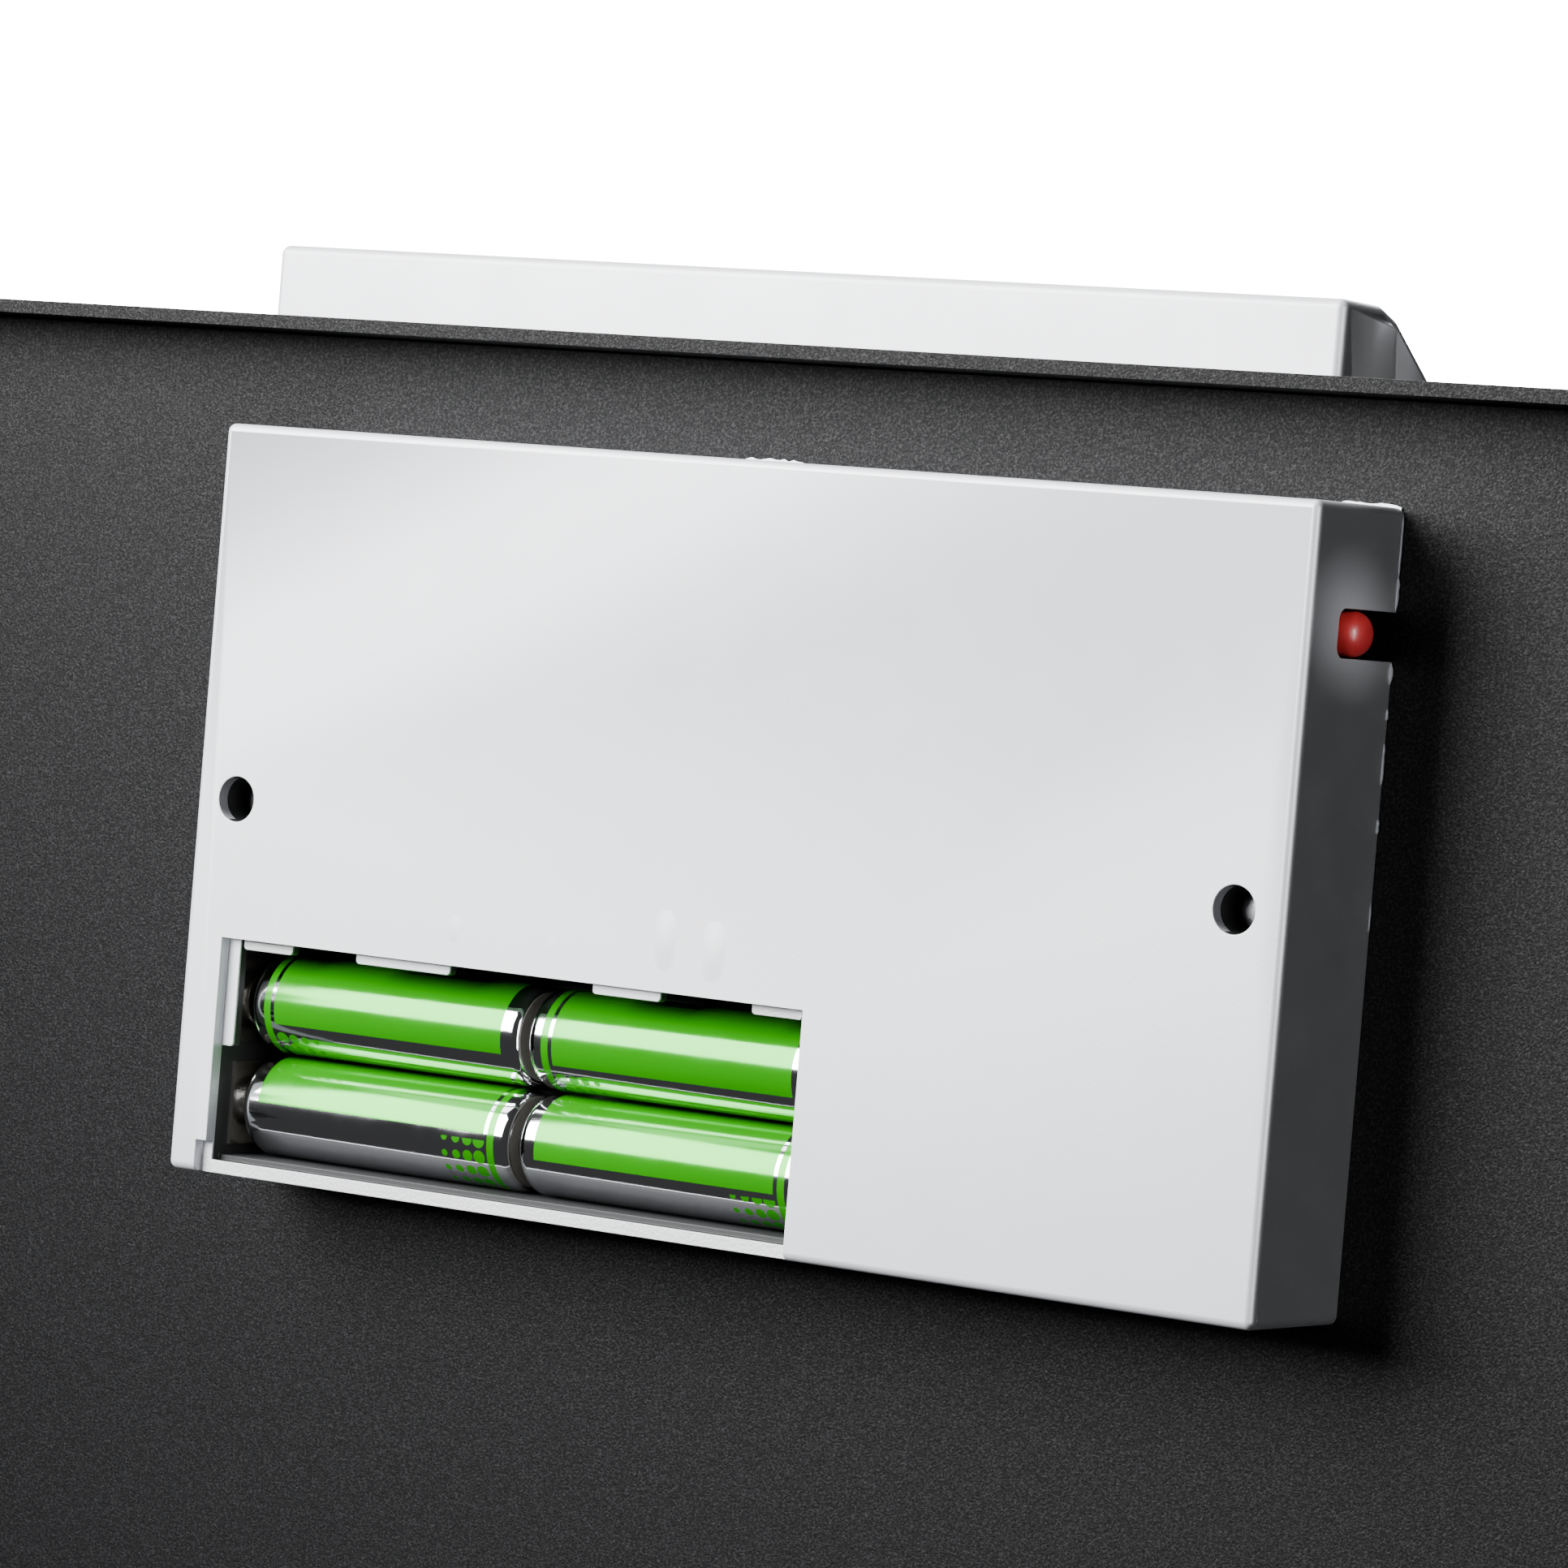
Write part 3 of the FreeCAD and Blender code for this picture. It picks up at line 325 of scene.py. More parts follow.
def satin_silver(name, colour, grain, recess_shade=None, cut=None):
    """Silver paint on moulded plastic: metal flake and slight orange peel.

    The shade mask and cut each take the finish and give where painted shade makes the bay and the screw wells near
    black and dull, and where it was trimmed and is rough and white.
    """
    paint = Finish(name)
    flake = paint.noise(grain, 2.0)
    peel = paint.noise(9 * MM, 2.0)
    relief = paint.math("ADD", flake, paint.math("MULTIPLY", peel, 0.4))
    tone = paint.mix(flake, shade(colour, 0.98), shade(colour, 1.02))
    metal, rough = 0.30, paint.spread(peel, 0.43, 0.47, 0.3, 0.7)
    if recess_shade:
        hidden = recess_shade(paint)
        # painted shade: near black, dull and not metal deep in the bay and down the screw wells
        tone = paint.mix(hidden, tone, (0.022, 0.023, 0.024))
        metal = paint.spread(hidden, metal, 0.0)
        rough = paint.math("MAXIMUM", rough, paint.math("MULTIPLY", hidden, 0.55))
    if cut:
        trimmed = cut(paint)
        scrape = paint.noise(0.5 * MM, 3.0, 0.6)
        relief = paint.math("ADD", relief, paint.math(
            "MULTIPLY", trimmed, paint.math("MULTIPLY", scrape, 14.0)))
        tone = paint.mix(trimmed, tone, (0.66, 0.67, 0.69))
        metal = paint.math("MULTIPLY", metal, paint.spread(trimmed, 1.0, 0.3))
    paint.set(Base_Color=tone, Metallic=metal, Specular_IOR_Level=0.4, Roughness=rough)
    return paint.bump(relief, 0.02 * MM, 0.5).material


def worked_metal(name, colour, rough, grain, axis):
    """Bare metal with tool marks drawn out along an axis."""
    metal = Finish(name)
    stretch = [1.0, 1.0, 1.0]
    stretch[axis] = 0.04
    lay = metal.add("ShaderNodeMapping", {"Vector": metal.source, "Scale": stretch})
    marks = metal.noise(grain, 4.0, 0.6, lay.outputs[0])
    blotch = metal.noise(12 * MM, 3.0)
    metal.set(
        Base_Color=metal.mix(blotch, shade(colour, 0.85), shade(colour, 1.05)),
        Metallic=1.0, Roughness=metal.spread(marks, rough * 0.8, rough * 1.3, 0.3, 0.7))
    return metal.bump(marks, 0.02 * MM, 0.4).material


def moulded(name, colour, rough, grain=0.5 * MM, coat=0.0):
    """Plastic straight from the mould, with faint flow in its colour and gloss."""
    plastic = Finish(name)
    texture = plastic.noise(grain, 2.0)
    flow = plastic.noise(25 * MM, 2.0)
    plastic.set(
        Base_Color=plastic.mix(flow, shade(colour, 0.9), shade(colour, 1.1)),
        Roughness=plastic.spread(texture, rough * 0.85, rough * 1.15, 0.3, 0.7),
        Coat_Weight=coat, Coat_Roughness=0.12)
    return plastic.bump(texture, 0.03 * MM, 0.4).material


def solder_mask(name):
    """A green board with faint darker traces."""
    board = Finish(name)
    cells = board.add("ShaderNodeTexVoronoi", {"Vector": board.source, "Scale": 1 / (6 * MM)},
                      feature="DISTANCE_TO_EDGE", distance="MANHATTAN")
    trace = board.math("LESS_THAN", cells.outputs["Distance"], 0.06)
    board.set(Base_Color=board.mix(trace, (0.008, 0.115, 0.04), (0.02, 0.20, 0.07)),
              Roughness=0.3)
    return board.bump(trace, 0.03 * MM, 0.6).material


def flat_cable(name):
    """Grey ribbon cable, ribbed lengthways."""
    cable = Finish(name)
    ribs = cable.add("ShaderNodeTexWave", {"Vector": cable.source, "Scale": 1 / (4 * MM)})
    # painted shade: the grey is darker in the grooves between the ribs and lighter on their crowns
    cable.set(Base_Color=cable.mix(ribs.outputs["Fac"], (0.20, 0.21, 0.23), (0.33, 0.34, 0.36)),
              Roughness=0.5)
    return cable.bump(ribs.outputs["Fac"], 0.1 * MM, 0.5).material


def felt(name, colour):
    """Pressed felt: short tangled fibres with a soft sheen."""
    cloth = Finish(name)
    fibres = cloth.noise(0.8 * MM, 6.0, 0.75)
    lumps = cloth.noise(6 * MM, 3.0)
    cloth.set(
        Base_Color=cloth.mix(fibres, shade(colour, 0.6), shade(colour, 1.7)),
        Roughness=0.95, Sheen_Weight=0.35, Sheen_Roughness=0.5)
    relief = cloth.math("ADD", fibres, cloth.math("MULTIPLY", lumps, 0.5))
    return cloth.bump(relief, 0.35 * MM, 0.8).material


def lens(name):
    """Milky lamp lens."""
    glass = Finish(name)
    glass.set(Base_Color=glass.mix(glass.noise(1.5 * MM), (0.55, 0.6, 0.55), (0.75, 0.8, 0.75)),
              Roughness=0.15, Transmission_Weight=0.35, IOR=1.49)
    return glass.material


def sleeve(name, colour):
    """A cell's mirror film, read on its own map: round it, then from its negative end.

    A band covers part of the way round and a ring stands near the negative end. Elsewhere rows
    of dots shrink away from the ring.
    """
    film = Finish(name, "UV")
    parts = film.add("ShaderNodeSeparateXYZ", {0: film.source})
    around, length = parts.outputs[0], parts.outputs[1]
    band_start, band_end, band_foot, band_head = 0.26, 0.66, 0.085, 0.905
    ring_foot, ring_head, clear = 0.048, 0.072, 0.02
    in_band = film.within(around, band_start, band_end)
    band = film.math("MULTIPLY", in_band, film.within(length, band_foot, band_head))
    ring = film.within(length, ring_foot, ring_head)
    first_row, row_pitch, rows, round_count = 0.080, 0.041, 4, 19
    girth, cell_length = 45.5, 50.5
    dot_radius, shrink = 1.02, 0.17
    from_ring = film.math("DIVIDE", film.math("SUBTRACT", length, first_row), row_pitch)
    row = film.math("FLOOR", from_ring)
    u = film.math("SUBTRACT", film.math("FRACT", film.math("MULTIPLY", around, round_count)), 0.5)
    v = film.math("SUBTRACT", film.math("FRACT", from_ring), 0.5)
    reach = film.hypot(film.math("MULTIPLY", u, girth / round_count),
                       film.math("MULTIPLY", v, cell_length * row_pitch))
    size = film.math("SUBTRACT", dot_radius, film.math("MULTIPLY", row, shrink))
    dots = film.math("MULTIPLY", film.math("LESS_THAN", reach, size),
                     film.within(length, first_row, first_row + rows * row_pitch))
    beside = film.within(around, band_start - clear, band_end + clear)
    dots = film.math("MULTIPLY", dots, film.math("SUBTRACT", 1.0, beside))
    printed = film.math("MAXIMUM", film.math("MAXIMUM", band, ring), dots)
    wear = film.noise(1 / 9, 4.0)
    film.set(
        Base_Color=film.mix(printed, (0.74, 0.75, 0.78), colour),
        Metallic=film.spread(printed, 1.0, 0.35),
        Roughness=film.math("ADD", film.spread(wear, 0.05, 0.11, 0.3, 0.7),
                            film.math("MULTIPLY", printed, 0.07)))
    return film.bump(wear, 0.05 * MM, 0.25).material


# ---- shapes ----


def keep(piece, node, replaces=True):
    """Ties a finished piece to its node's body; mostly it takes the node's place."""
    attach(piece, body_of_node(node))
    if replaces:
        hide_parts(node)


def linked(name, data):
    """A new object of the scene."""
    made = bpy.data.objects.new(name, data)
    bpy.context.scene.collection.objects.link(made)
    return made


def mesh_from(name, shape):
    """A new mesh from a bmesh, which is freed."""
    data = bpy.data.meshes.new(name)
    shape.to_mesh(data)
    shape.free()
    return data


def final_mesh(source):
    """The evaluated mesh of an object, which is then removed."""
    source.update_tag()
    graph = bpy.context.evaluated_depsgraph_get()
    graph.update()
    data = bpy.data.meshes.new_from_object(source.evaluated_get(graph), depsgraph=graph)
    bpy.data.objects.remove(source)
    return data


def piece_from(name, shape, *materials):
    """A new object from a bmesh."""
    data = mesh_from(name, shape)
    for material in materials:
        data.materials.append(material)
    return linked(name, data)


def merged(node):
    """A node's loose triangles as one joined bmesh."""
    shape = bmesh.new()
    shape.from_mesh(frame["nodes"][node].data)
    bmesh.ops.remove_doubles(shape, verts=shape.verts, dist=0.004 * MM)
    return shape


def round_edges(made, width, segments):
    """A live bevel of a piece's sharp edges."""
    rounding = made.modifiers.new("rounding", "BEVEL")
    rounding.width = width
    rounding.segments = segments
    rounding.harden_normals = True
    return rounding


def smooth_by_angle(made, degrees=35):
    """Smooth shading, except across sharp edges."""
    data = made.data
    data.shade_smooth()
    shape = bmesh.new()
    shape.from_mesh(data)
    for edge in shape.edges:
        edge.smooth = len(edge.link_faces) == 2 and edge.calc_face_angle(0) < math.radians(degrees)
    shape.to_mesh(data)
    shape.free()


def eased_copy(node, name, width, material, segments=3):
    """A copy of a node with its sharp edges rounded; it takes the node's place."""
    shape = merged(node)
    bmesh.ops.dissolve_limit(
        shape, angle_limit=math.radians(0.5), verts=shape.verts, edges=shape.edges,
        use_dissolve_boundaries=False)
    made = piece_from(name, shape, material)
    for polygon in made.data.polygons:
        polygon.material_index = 0
    smooth_by_angle(made)
    rounding = round_edges(made, width, segments)
    rounding.limit_method = "ANGLE"
    rounding.angle_limit = math.radians(40)
    rounding.use_clamp_overlap = True
    keep(made, node)


def material_at(level):
    """Which of a cell's materials a stretch of its outline has: film, steel or washer."""
    if CELL_RIM[0] <= level < CELL_RIM[1]:
        return 0
    return 2 if any(low <= level < high for low, high in CELL_WASHERS) else 1


def lathe(profile, steps=64, uv=False):
    """A closed shape turned about +Z from (radius, height) points.

    With uv it is a cell: each face gets the share of the way round and of the length, and the
    material of its stretch of the outline.
    """
    shape = bmesh.new()
    layer = shape.loops.layers.uv.new("UVMap") if uv else None
    rings = []
    for radius, height in profile:
        if radius == 0:
            rings.append([shape.verts.new((0, 0, height))])
            continue
        rings.append([
            shape.verts.new((
                radius * math.cos(math.tau * i / steps), radius * math.sin(math.tau * i / steps),
                height))
            for i in range(steps)
        ])
    total = max(h for _, h in profile)
    for level, (low, high) in enumerate(zip(rings, rings[1:])):
        for i in range(steps):
            j = (i + 1) % steps
            corners = [(low[i % len(low)], i), (low[j % len(low)], i + 1),
                       (high[j % len(high)], i + 1), (high[i % len(high)], i)]
            seen, kept = set(), []
            for vertex, around in corners:
                if vertex not in seen:
                    seen.add(vertex)
                    kept.append((vertex, around))
            face = shape.faces.new([vertex for vertex, _ in kept])
            face.smooth = True
            if uv:
                face.material_index = material_at(level)
                for loop, (vertex, around) in zip(face.loops, kept):
                    loop[layer].uv = (around / steps, vertex.co.z / total)
    bmesh.ops.recalc_face_normals(shape, faces=shape.faces)
    return shape


def nodes_mesh(name, build, inputs, material):
    """Runs a Geometry Nodes tree and returns its result as a plain mesh object.

    build(tree, group_input) returns the geometry socket to realise. inputs holds the value of
    each input by name.
    """
    tree = bpy.data.node_groups.new(name, "GeometryNodeTree")
    tree.interface.new_socket("Geometry", in_out="OUTPUT", socket_type="NodeSocketGeometry")
    identifiers = {}
    for label, value in inputs.items():
        kind = "NodeSocketInt" if isinstance(value, int) else "NodeSocketFloat"
        socket = tree.interface.new_socket(label, in_out="INPUT", socket_type=kind)
        identifiers[label] = socket.identifier
    geometry = build(tree, add_node(tree, "NodeGroupInput"))
    realise = add_node(tree, "GeometryNodeRealizeInstances", {0: geometry})
    paint = add_node(tree, "GeometryNodeSetMaterial", {
        0: realise.outputs[0], "Material": material})
    add_node(tree, "NodeGroupOutput", {0: paint.outputs[0]})
    source = linked(name + "_source", bpy.data.meshes.new(name + "_source"))
    modifier = source.modifiers.new("shape", "NODES")
    modifier.node_group = tree
    for label, value in inputs.items():
        modifier[identifiers[label]] = value
    data = final_mesh(source)
    data.name = name
    return linked(name, data)


def ring_of(tree, count, radius, instance):
    """An instance at each of a number of places round a circle, its X pointing outwards."""
    circle = add_node(tree, "GeometryNodeMeshCircle", {"Vertices": count, "Radius": radius})
    place = add_node(tree, "GeometryNodeInputPosition")
    align = add_node(tree, "FunctionNodeAlignRotationToVector", {"Vector": place.outputs[0]},
                     axis="X", pivot_axis="Z")
    return add_node(tree, "GeometryNodeInstanceOnPoints", {
        "Points": circle.outputs[0], "Instance": instance,
        "Rotation": align.outputs[0]}).outputs[0]


def solid_middles(node):
    """The middle of each separate solid in a node."""
    shape = merged(node)
    left, places = set(shape.verts), []
    while left:
        stack, found = [left.pop()], []
        while stack:
            vertex = stack.pop()
            found.append(vertex.co.copy())
            for edge in vertex.link_edges:
                other = edge.other_vert(vertex)
                if other in left:
                    left.remove(other)
                    stack.append(other)
        places.append(middle_of(found))
    shape.free()
    return sorted(places, key=lambda p: (round(p.z, 4), round(ALONG.dot(p), 4)))


# ---- the battery housing's own places ----


HOUSING_LEFT, HOUSING_RIGHT = span("battery_housing", ALONG)
HOUSING_FACE, HOUSING_BACK = span("battery_housing", INTO)
HOUSING_FOOT, HOUSING_TOP = span("battery_housing", UP)


def housing_point(across, deep, drop):
    """A point from its distances across, into and down from the corner by the hinge."""
    return door_point(HOUSING_LEFT + across, HOUSING_FACE + deep, HOUSING_TOP - drop)


def near_axis(paint, middle, radius):
    """Where a surface lies within a radius of a line that runs into the door."""
    across = paint.math("SUBTRACT", paint.along(ALONG), ALONG.dot(middle))
    high = paint.math("SUBTRACT", paint.along(UP), middle.z)
    return paint.math("LESS_THAN", paint.hypot(across, high), radius)


def housing_bare(paint):
    """Painted shade: the bay's faces deeper than its lip and inside its walls, and the screws' wells."""
    rim, lip, well_rim, well = 1.1 * MM, 1.9 * MM, 0.3 * MM, 3.4 * MM
    depth = paint.along(INTO)
    inside = paint.math(
        "MULTIPLY", paint.within(paint.along(ALONG), HOUSING_LEFT + rim, HOUSING_RIGHT - rim),
        paint.within(paint.along(UP), HOUSING_FOOT + rim, HOUSING_TOP - rim))
    hidden = paint.math("MULTIPLY", inside, paint.math("GREATER_THAN", depth, HOUSING_FACE + lip))
    sunk = paint.math("GREATER_THAN", depth, HOUSING_FACE + well_rim)
    for middle in solid_middles("housing_screws"):
        round_it = near_axis(paint, middle, well)
        hidden = paint.math("MAXIMUM", hidden, paint.math("MULTIPLY", round_it, sunk))
    return hidden


def housing_cut(paint):
    """The trimmed faces: the sill under the cells and the ledges at the bay's two ends."""
    step_near, step_far, sill_height = 1.4 * MM, 1.8 * MM, 2.6 * MM
    ledge_top, ledge_foot = 73 * MM, 76.5 * MM
    along, height = paint.along(ALONG), paint.along(UP)
    step = paint.within(paint.along(INTO), HOUSING_FACE + step_near, HOUSING_FACE + step_far)
    sill = paint.math("LESS_THAN", height, HOUSING_FOOT + sill_height)
    ledge_band = paint.within(height, HOUSING_TOP - ledge_foot, HOUSING_TOP - ledge_top)
    near, far = (paint.within(along, HOUSING_LEFT + start * MM, HOUSING_LEFT + end * MM)
                 for start, end in ((9.5, 19.2), (100.1, 109.2)))
    ledge_ends = paint.math("MULTIPLY", ledge_band, paint.math("MAXIMUM", near, far))
    return paint.math("MULTIPLY", step, paint.math("MAXIMUM", sill, ledge_ends))


def skin(shape, first, second):
    """Faces between two closed rings of vertices."""
    for here in range(len(first)):
        after = (here + 1) % len(first)
        shape.faces.new((first[here], first[after], second[after], second[here]))


def sink_ridge(shape, across, top, foot, half, rise):
    """A low upright ridge that cooling left on the face, with its underside in the wall."""
    columns, rows, sunk = 12, 12, 0.04 * MM
    grid = []
    for row in range(rows + 1):
        share = row / rows
        fade = math.sin(math.pi * share) ** 2
        line = []
        for column in range(columns + 1):
            off = column / columns * 2 - 1
            lift = rise * fade * math.cos(math.pi / 2 * off) - sunk
            line.append(shape.verts.new(housing_point(
                across + off * half, -lift, top + share * (foot - top))))
        grid.append(line)
    for upper, lower in zip(grid, grid[1:]):
        for corner in range(columns):
            shape.faces.new((upper[corner], lower[corner], lower[corner + 1], upper[corner + 1]))
    border = (grid[0] + [line[-1] for line in grid[1:]] + grid[-1][-2::-1]
              + [line[0] for line in grid[-2:0:-1]])
    back = [shape.verts.new(vertex.co + INTO * 0.1 * MM) for vertex in border]
    skin(shape, border, back)
    shape.faces.new(back[::-1])


def flash_run(shape, start, end, outward, height, dice):
    """A ragged sliver of plastic that squeezed out of the mould along a back edge."""
    taper, least, root = 0.12, 0.12, 0.3 * MM
    steps = max(4, round((end - start).length / (0.8 * MM)))
    rings = []
    for step in range(steps + 1):
        share = step / steps
        fade = min(1.0, share / taper, (1 - share) / taper)
        reach = height * max(least, fade * dice.uniform(0.55, 1.0))
        foot = start.lerp(end, share)
        rings.append([shape.verts.new(foot + outward * out + INTO * deep) for out, deep in (
            (-root, 0), (reach, 0.05 * MM), (reach, 0.2 * MM), (-root, 0.3 * MM))])
    for first, second in zip(rings, rings[1:]):
        skin(shape, first, second)
    shape.faces.new(rings[0][::-1])
    shape.faces.new(rings[-1])


# Along the upper back edge, then down the back edge by the button: start, end and reach in mm.
TOP_FLASH = ((14.0, 21.5, 0.35), (76.4, 89.0, 0.8), (174.4, 184.6, 0.6))
SIDE_FLASH = ((1.2, 9.0, 0.12), (9.2, 13.4, 0.32), (20.5, 23.2, 0.4), (26.5, 28.0, 0.22),
              (31.0, 36.5, 0.2), (41.0, 43.0, 0.28), (52.0, 56.0, 0.15))
# Sink ridges above the bay: across, top, foot, half width and rise in mm.
SINK_RIDGES = ((86.0, 60.8, 72.6, 2.2, 0.20), (94.4, 61.6, 73.4, 2.2, 0.21),
               (49.2, 65.0, 72.4, 1.8, 0.09), (66.4, 65.8, 72.8, 1.8, 0.06))


def housing_marks():
    """The ridges and the flash of the battery housing, as one shape."""
    shape = bmesh.new()
    for across, top, foot, half, rise in SINK_RIDGES:
        sink_ridge(shape, across * MM, top * MM, foot * MM, half * MM, rise * MM)
    dice = random.Random(7)
    back = HOUSING_BACK - HOUSING_FACE - 0.34 * MM
    wide = HOUSING_RIGHT - HOUSING_LEFT
    for start, end, height in TOP_FLASH:
        flash_run(shape, housing_point(start * MM, back, 0), housing_point(end * MM, back, 0),
                  UP, height * MM, dice)
    for start, end, height in SIDE_FLASH:
        flash_run(shape, housing_point(wide, back, start * MM),
                  housing_point(wide, back, end * MM), ALONG, height * MM, dice)
    bmesh.ops.recalc_face_normals(shape, faces=shape.faces)
    return shape


# ---- finishes, made once each ----

MATERIALS = {}


def finish_named(name):
    """The material of that name, made the first time it is asked for."""
    looks = bpy.context.scene.safe_finish
    silver = (looks.silver_colour, looks.silver_grain)
    makers = {
        "coat": (powder_coat, "charcoal_coat", looks.coat_colour, looks.coat_grain),
        "silver": (satin_silver, "satin_silver", *silver),
        "housing": (satin_silver, "housing_silver", *silver, housing_bare, housing_cut),
        "zinc": (worked_metal, "zinc_plate", (0.52, 0.53, 0.55), 0.36, 0.6 * MM, 2),
        "steel": (worked_metal, "turned_steel", (0.60, 0.60, 0.61), 0.18, 0.25 * MM, 2),
        "nickel": (worked_metal, "nickel", (0.72, 0.70, 0.66), 0.20, 0.4 * MM, 1),
        "brass": (worked_metal, "brass", (0.78, 0.56, 0.24), 0.25, 0.3 * MM, 2),
        "button": (moulded, "red_button", looks.button_colour, 0.42, 0.4 * MM, 0.15),
        "black": (moulded, "black_plastic", (0.018, 0.018, 0.019), 0.48),
        "ring": (moulded, "insulating_ring", (0.15, 0.145, 0.13), 0.7),
        "key": (moulded, "key_plastic", (0.55, 0.56, 0.58), 0.38, 0.35 * MM),
        "legend": (moulded, "legend_ink", (0.02, 0.02, 0.022), 0.4),
        "knob": (satin_silver, "knob_silver", (0.40, 0.41, 0.43), 0.3 * MM),
        "board": (solder_mask, "solder_mask"),
        "cable": (flat_cable, "flat_cable"),
        "felt": (felt, "floor_felt", looks.mat_colour),
        "lens": (lens, "lamp_lens"),
        "sleeve": (sleeve, "cell_sleeve", looks.label_colour),
    }
    if name not in MATERIALS:
        maker, *values = makers[name]
        MATERIALS[name] = maker(*values)
    return MATERIALS[name]


class SafeStep:
    """What every operator of this add-on shares."""
    bl_options = {"REGISTER", "UNDO"}


SHEET_METAL = ("body_shell", "front_flange", "door_pan", "inner_cover", "hinge_frame_upper",
               "hinge_frame_lower", "hinge_door_upper", "hinge_door_lower")
PLAIN_NODES = {
    "zinc": ("strike_plate", "bolt_carriage", "bolt_guides", "knob_spindle"),
    "steel": ("solenoid_plunger", "hinge_pin_upper", "hinge_pin_lower", "flap_pin",
              "lock_cylinder"),
    "brass": ("lock_plug",), "nickel": ("contact_plates",), "cable": ("ribbon_cable",),
    "lens": ("status_lamps",), "board": ("circuit_board", "keypad_board"),
    "black": ("reset_switch", "lock_solenoid", "knob_bushing"),
}


class SAFE_OT_sheet_metal(SafeStep, bpy.types.Operator):
    """Coat the box, flange, door and hinges and round their cut edges"""
    bl_idname = "safe.sheet_metal"
    bl_label = "Sheet metal"

    def execute(self, context):
        for node in SHEET_METAL:
            eased_copy(node, node + "_coated", context.scene.safe_sizes.sheet_round,
                       finish_named("coat"), 2)
        return {"FINISHED"}


class SAFE_OT_silver_covers(SafeStep, bpy.types.Operator):
    """Finish the console and the battery housing, with the housing's flash and sink ridges"""
    bl_idname = "safe.silver_covers"
    bl_label = "Silver covers"

    def execute(self, context):
        eased_copy("console_shell", "console_painted", context.scene.safe_sizes.plastic_round,
                   finish_named("silver"), 4)
        housing = finish_named("housing")
        eased_copy("battery_housing", "housing_painted", 0.2 * MM, housing, 2)
        marks = piece_from("housing_moulding_marks", housing_marks(), housing)
        smooth_by_angle(marks, 30)
        keep(marks, "battery_housing", False)
        return {"FINISHED"}


class SAFE_OT_hardware(SafeStep, bpy.types.Operator):
    """Give the hidden and the plain pieces their finishes"""
    bl_idname = "safe.hardware"
    bl_label = "Hardware"

    def execute(self, context):
        for finish, nodes in PLAIN_NODES.items():
            for node in nodes:
                for held in frame["nodes"][node].material_slots:
                    held.material = finish_named(finish)
        return {"FINISHED"}


def cell_profile(radius, length, nub_radius, nub):
    """The outline of a cell from its negative end to its nub."""
    barrel = length - nub
    return [
        (0, 0), (radius * 0.55, 0), (radius * 0.62, 0.15 * MM), (radius * 0.84, 0.3 * MM),
        (radius * 0.88, 0.1 * MM), (radius * 0.94, 0.15 * MM), (radius * 0.98, 0.6 * MM),
        (radius, 1.3 * MM), (radius, barrel - 2.2 * MM), (radius * 0.985, barrel - 1.5 * MM),
        (radius * 0.94, barrel - 1.0 * MM), (radius * 0.88, barrel - 0.8 * MM),
        (radius * 0.82, barrel - 1.0 * MM), (radius * 0.50, barrel - 0.9 * MM),
        (nub_radius, barrel - 0.6 * MM), (nub_radius, length - 0.4 * MM),
        (nub_radius * 0.85, length - 0.05 * MM), (0, length),
    ]


CELLS = (("upper", "inner", 1, 0.60), ("upper", "outer", 1, 0.585),
         ("lower", "inner", -1, 0.757), ("lower", "outer", -1, 0.70))
CELL_RIM = (4, 11)
CELL_WASHERS = ((2, 4), (11, 13))


class SAFE_OT_cells(SafeStep, bpy.types.Operator):
    """Build the four cells, each turned a little differently in its seat"""
    bl_idname = "safe.cells"
    bl_label = "Cells"

    def execute(self, context):
        steel, film, washer = (finish_named(name) for name in ("steel", "sleeve", "ring"))
        for row, place, facing, roll in CELLS:
            node = f"battery_{row}_{place}"
            radius, length = extent(node, INTO) / 2, extent(node, ALONG)
            axis = ALONG * facing
            shape = lathe(cell_profile(radius, length, 2.7 * MM, 1 * MM), 72, True)
            side = (UP * math.sin(math.tau * roll) - INTO * math.cos(math.tau * roll)).normalized()
            shape.transform(stood(axis, side, centre(node) - axis * length / 2))
            made = piece_from(node + "_sleeved", shape, film, steel, washer)
            smooth_by_angle(made, 50)
            keep(made, node)
        return {"FINISHED"}


class SAFE_OT_contact_springs(SafeStep, bpy.types.Operator):
    """Wind the two conical contact springs"""
    bl_idname = "safe.contact_springs"
    bl_label = "Contact springs"

    def execute(self, context):
        wire = context.scene.safe_sizes.spring_wire

        def wind(tree, start):
            coil = add_node(tree, "GeometryNodeCurveSpiral", {
                "Resolution": 24, "Rotations": start.outputs["Turns"],
                "Start Radius": start.outputs["Wide radius"],
                "End Radius": start.outputs["Tip radius"], "Height": start.outputs["Height"]})
            section = add_node(tree, "GeometryNodeCurvePrimitiveCircle", {
                "Resolution": 8, "Radius": start.outputs["Wire radius"]})
            return add_node(tree, "GeometryNodeCurveToMesh", {
                "Curve": coil.outputs[0], "Profile Curve": section.outputs[0],
                "Fill Caps": True}).outputs[0]

        spring_low, spring_high = span("contact_springs", ALONG)
        for row, place, facing in (("upper", "inner", 1), ("lower", "outer", -1)):
            node = f"battery_{row}_{place}"
            cell_low, cell_high = span(node, ALONG)
            cell_end = cell_low if facing > 0 else cell_high
            gap = cell_low - spring_low if facing > 0 else spring_high - cell_high
            made = nodes_mesh("contact_spring_" + row, wind, {
                "Turns": 3.5, "Wide radius": 3.9 * MM, "Tip radius": 2.2 * MM,
                "Height": gap - wire, "Wire radius": wire / 2}, finish_named("nickel"))
            seat = moved_to(centre(node), ALONG, cell_end - facing * (gap - wire / 2))
            made.data.transform(stood(ALONG * facing, UP, seat))
            smooth_by_angle(made, 60)
            keep(made, "contact_springs", facing > 0)
        return {"FINISHED"}


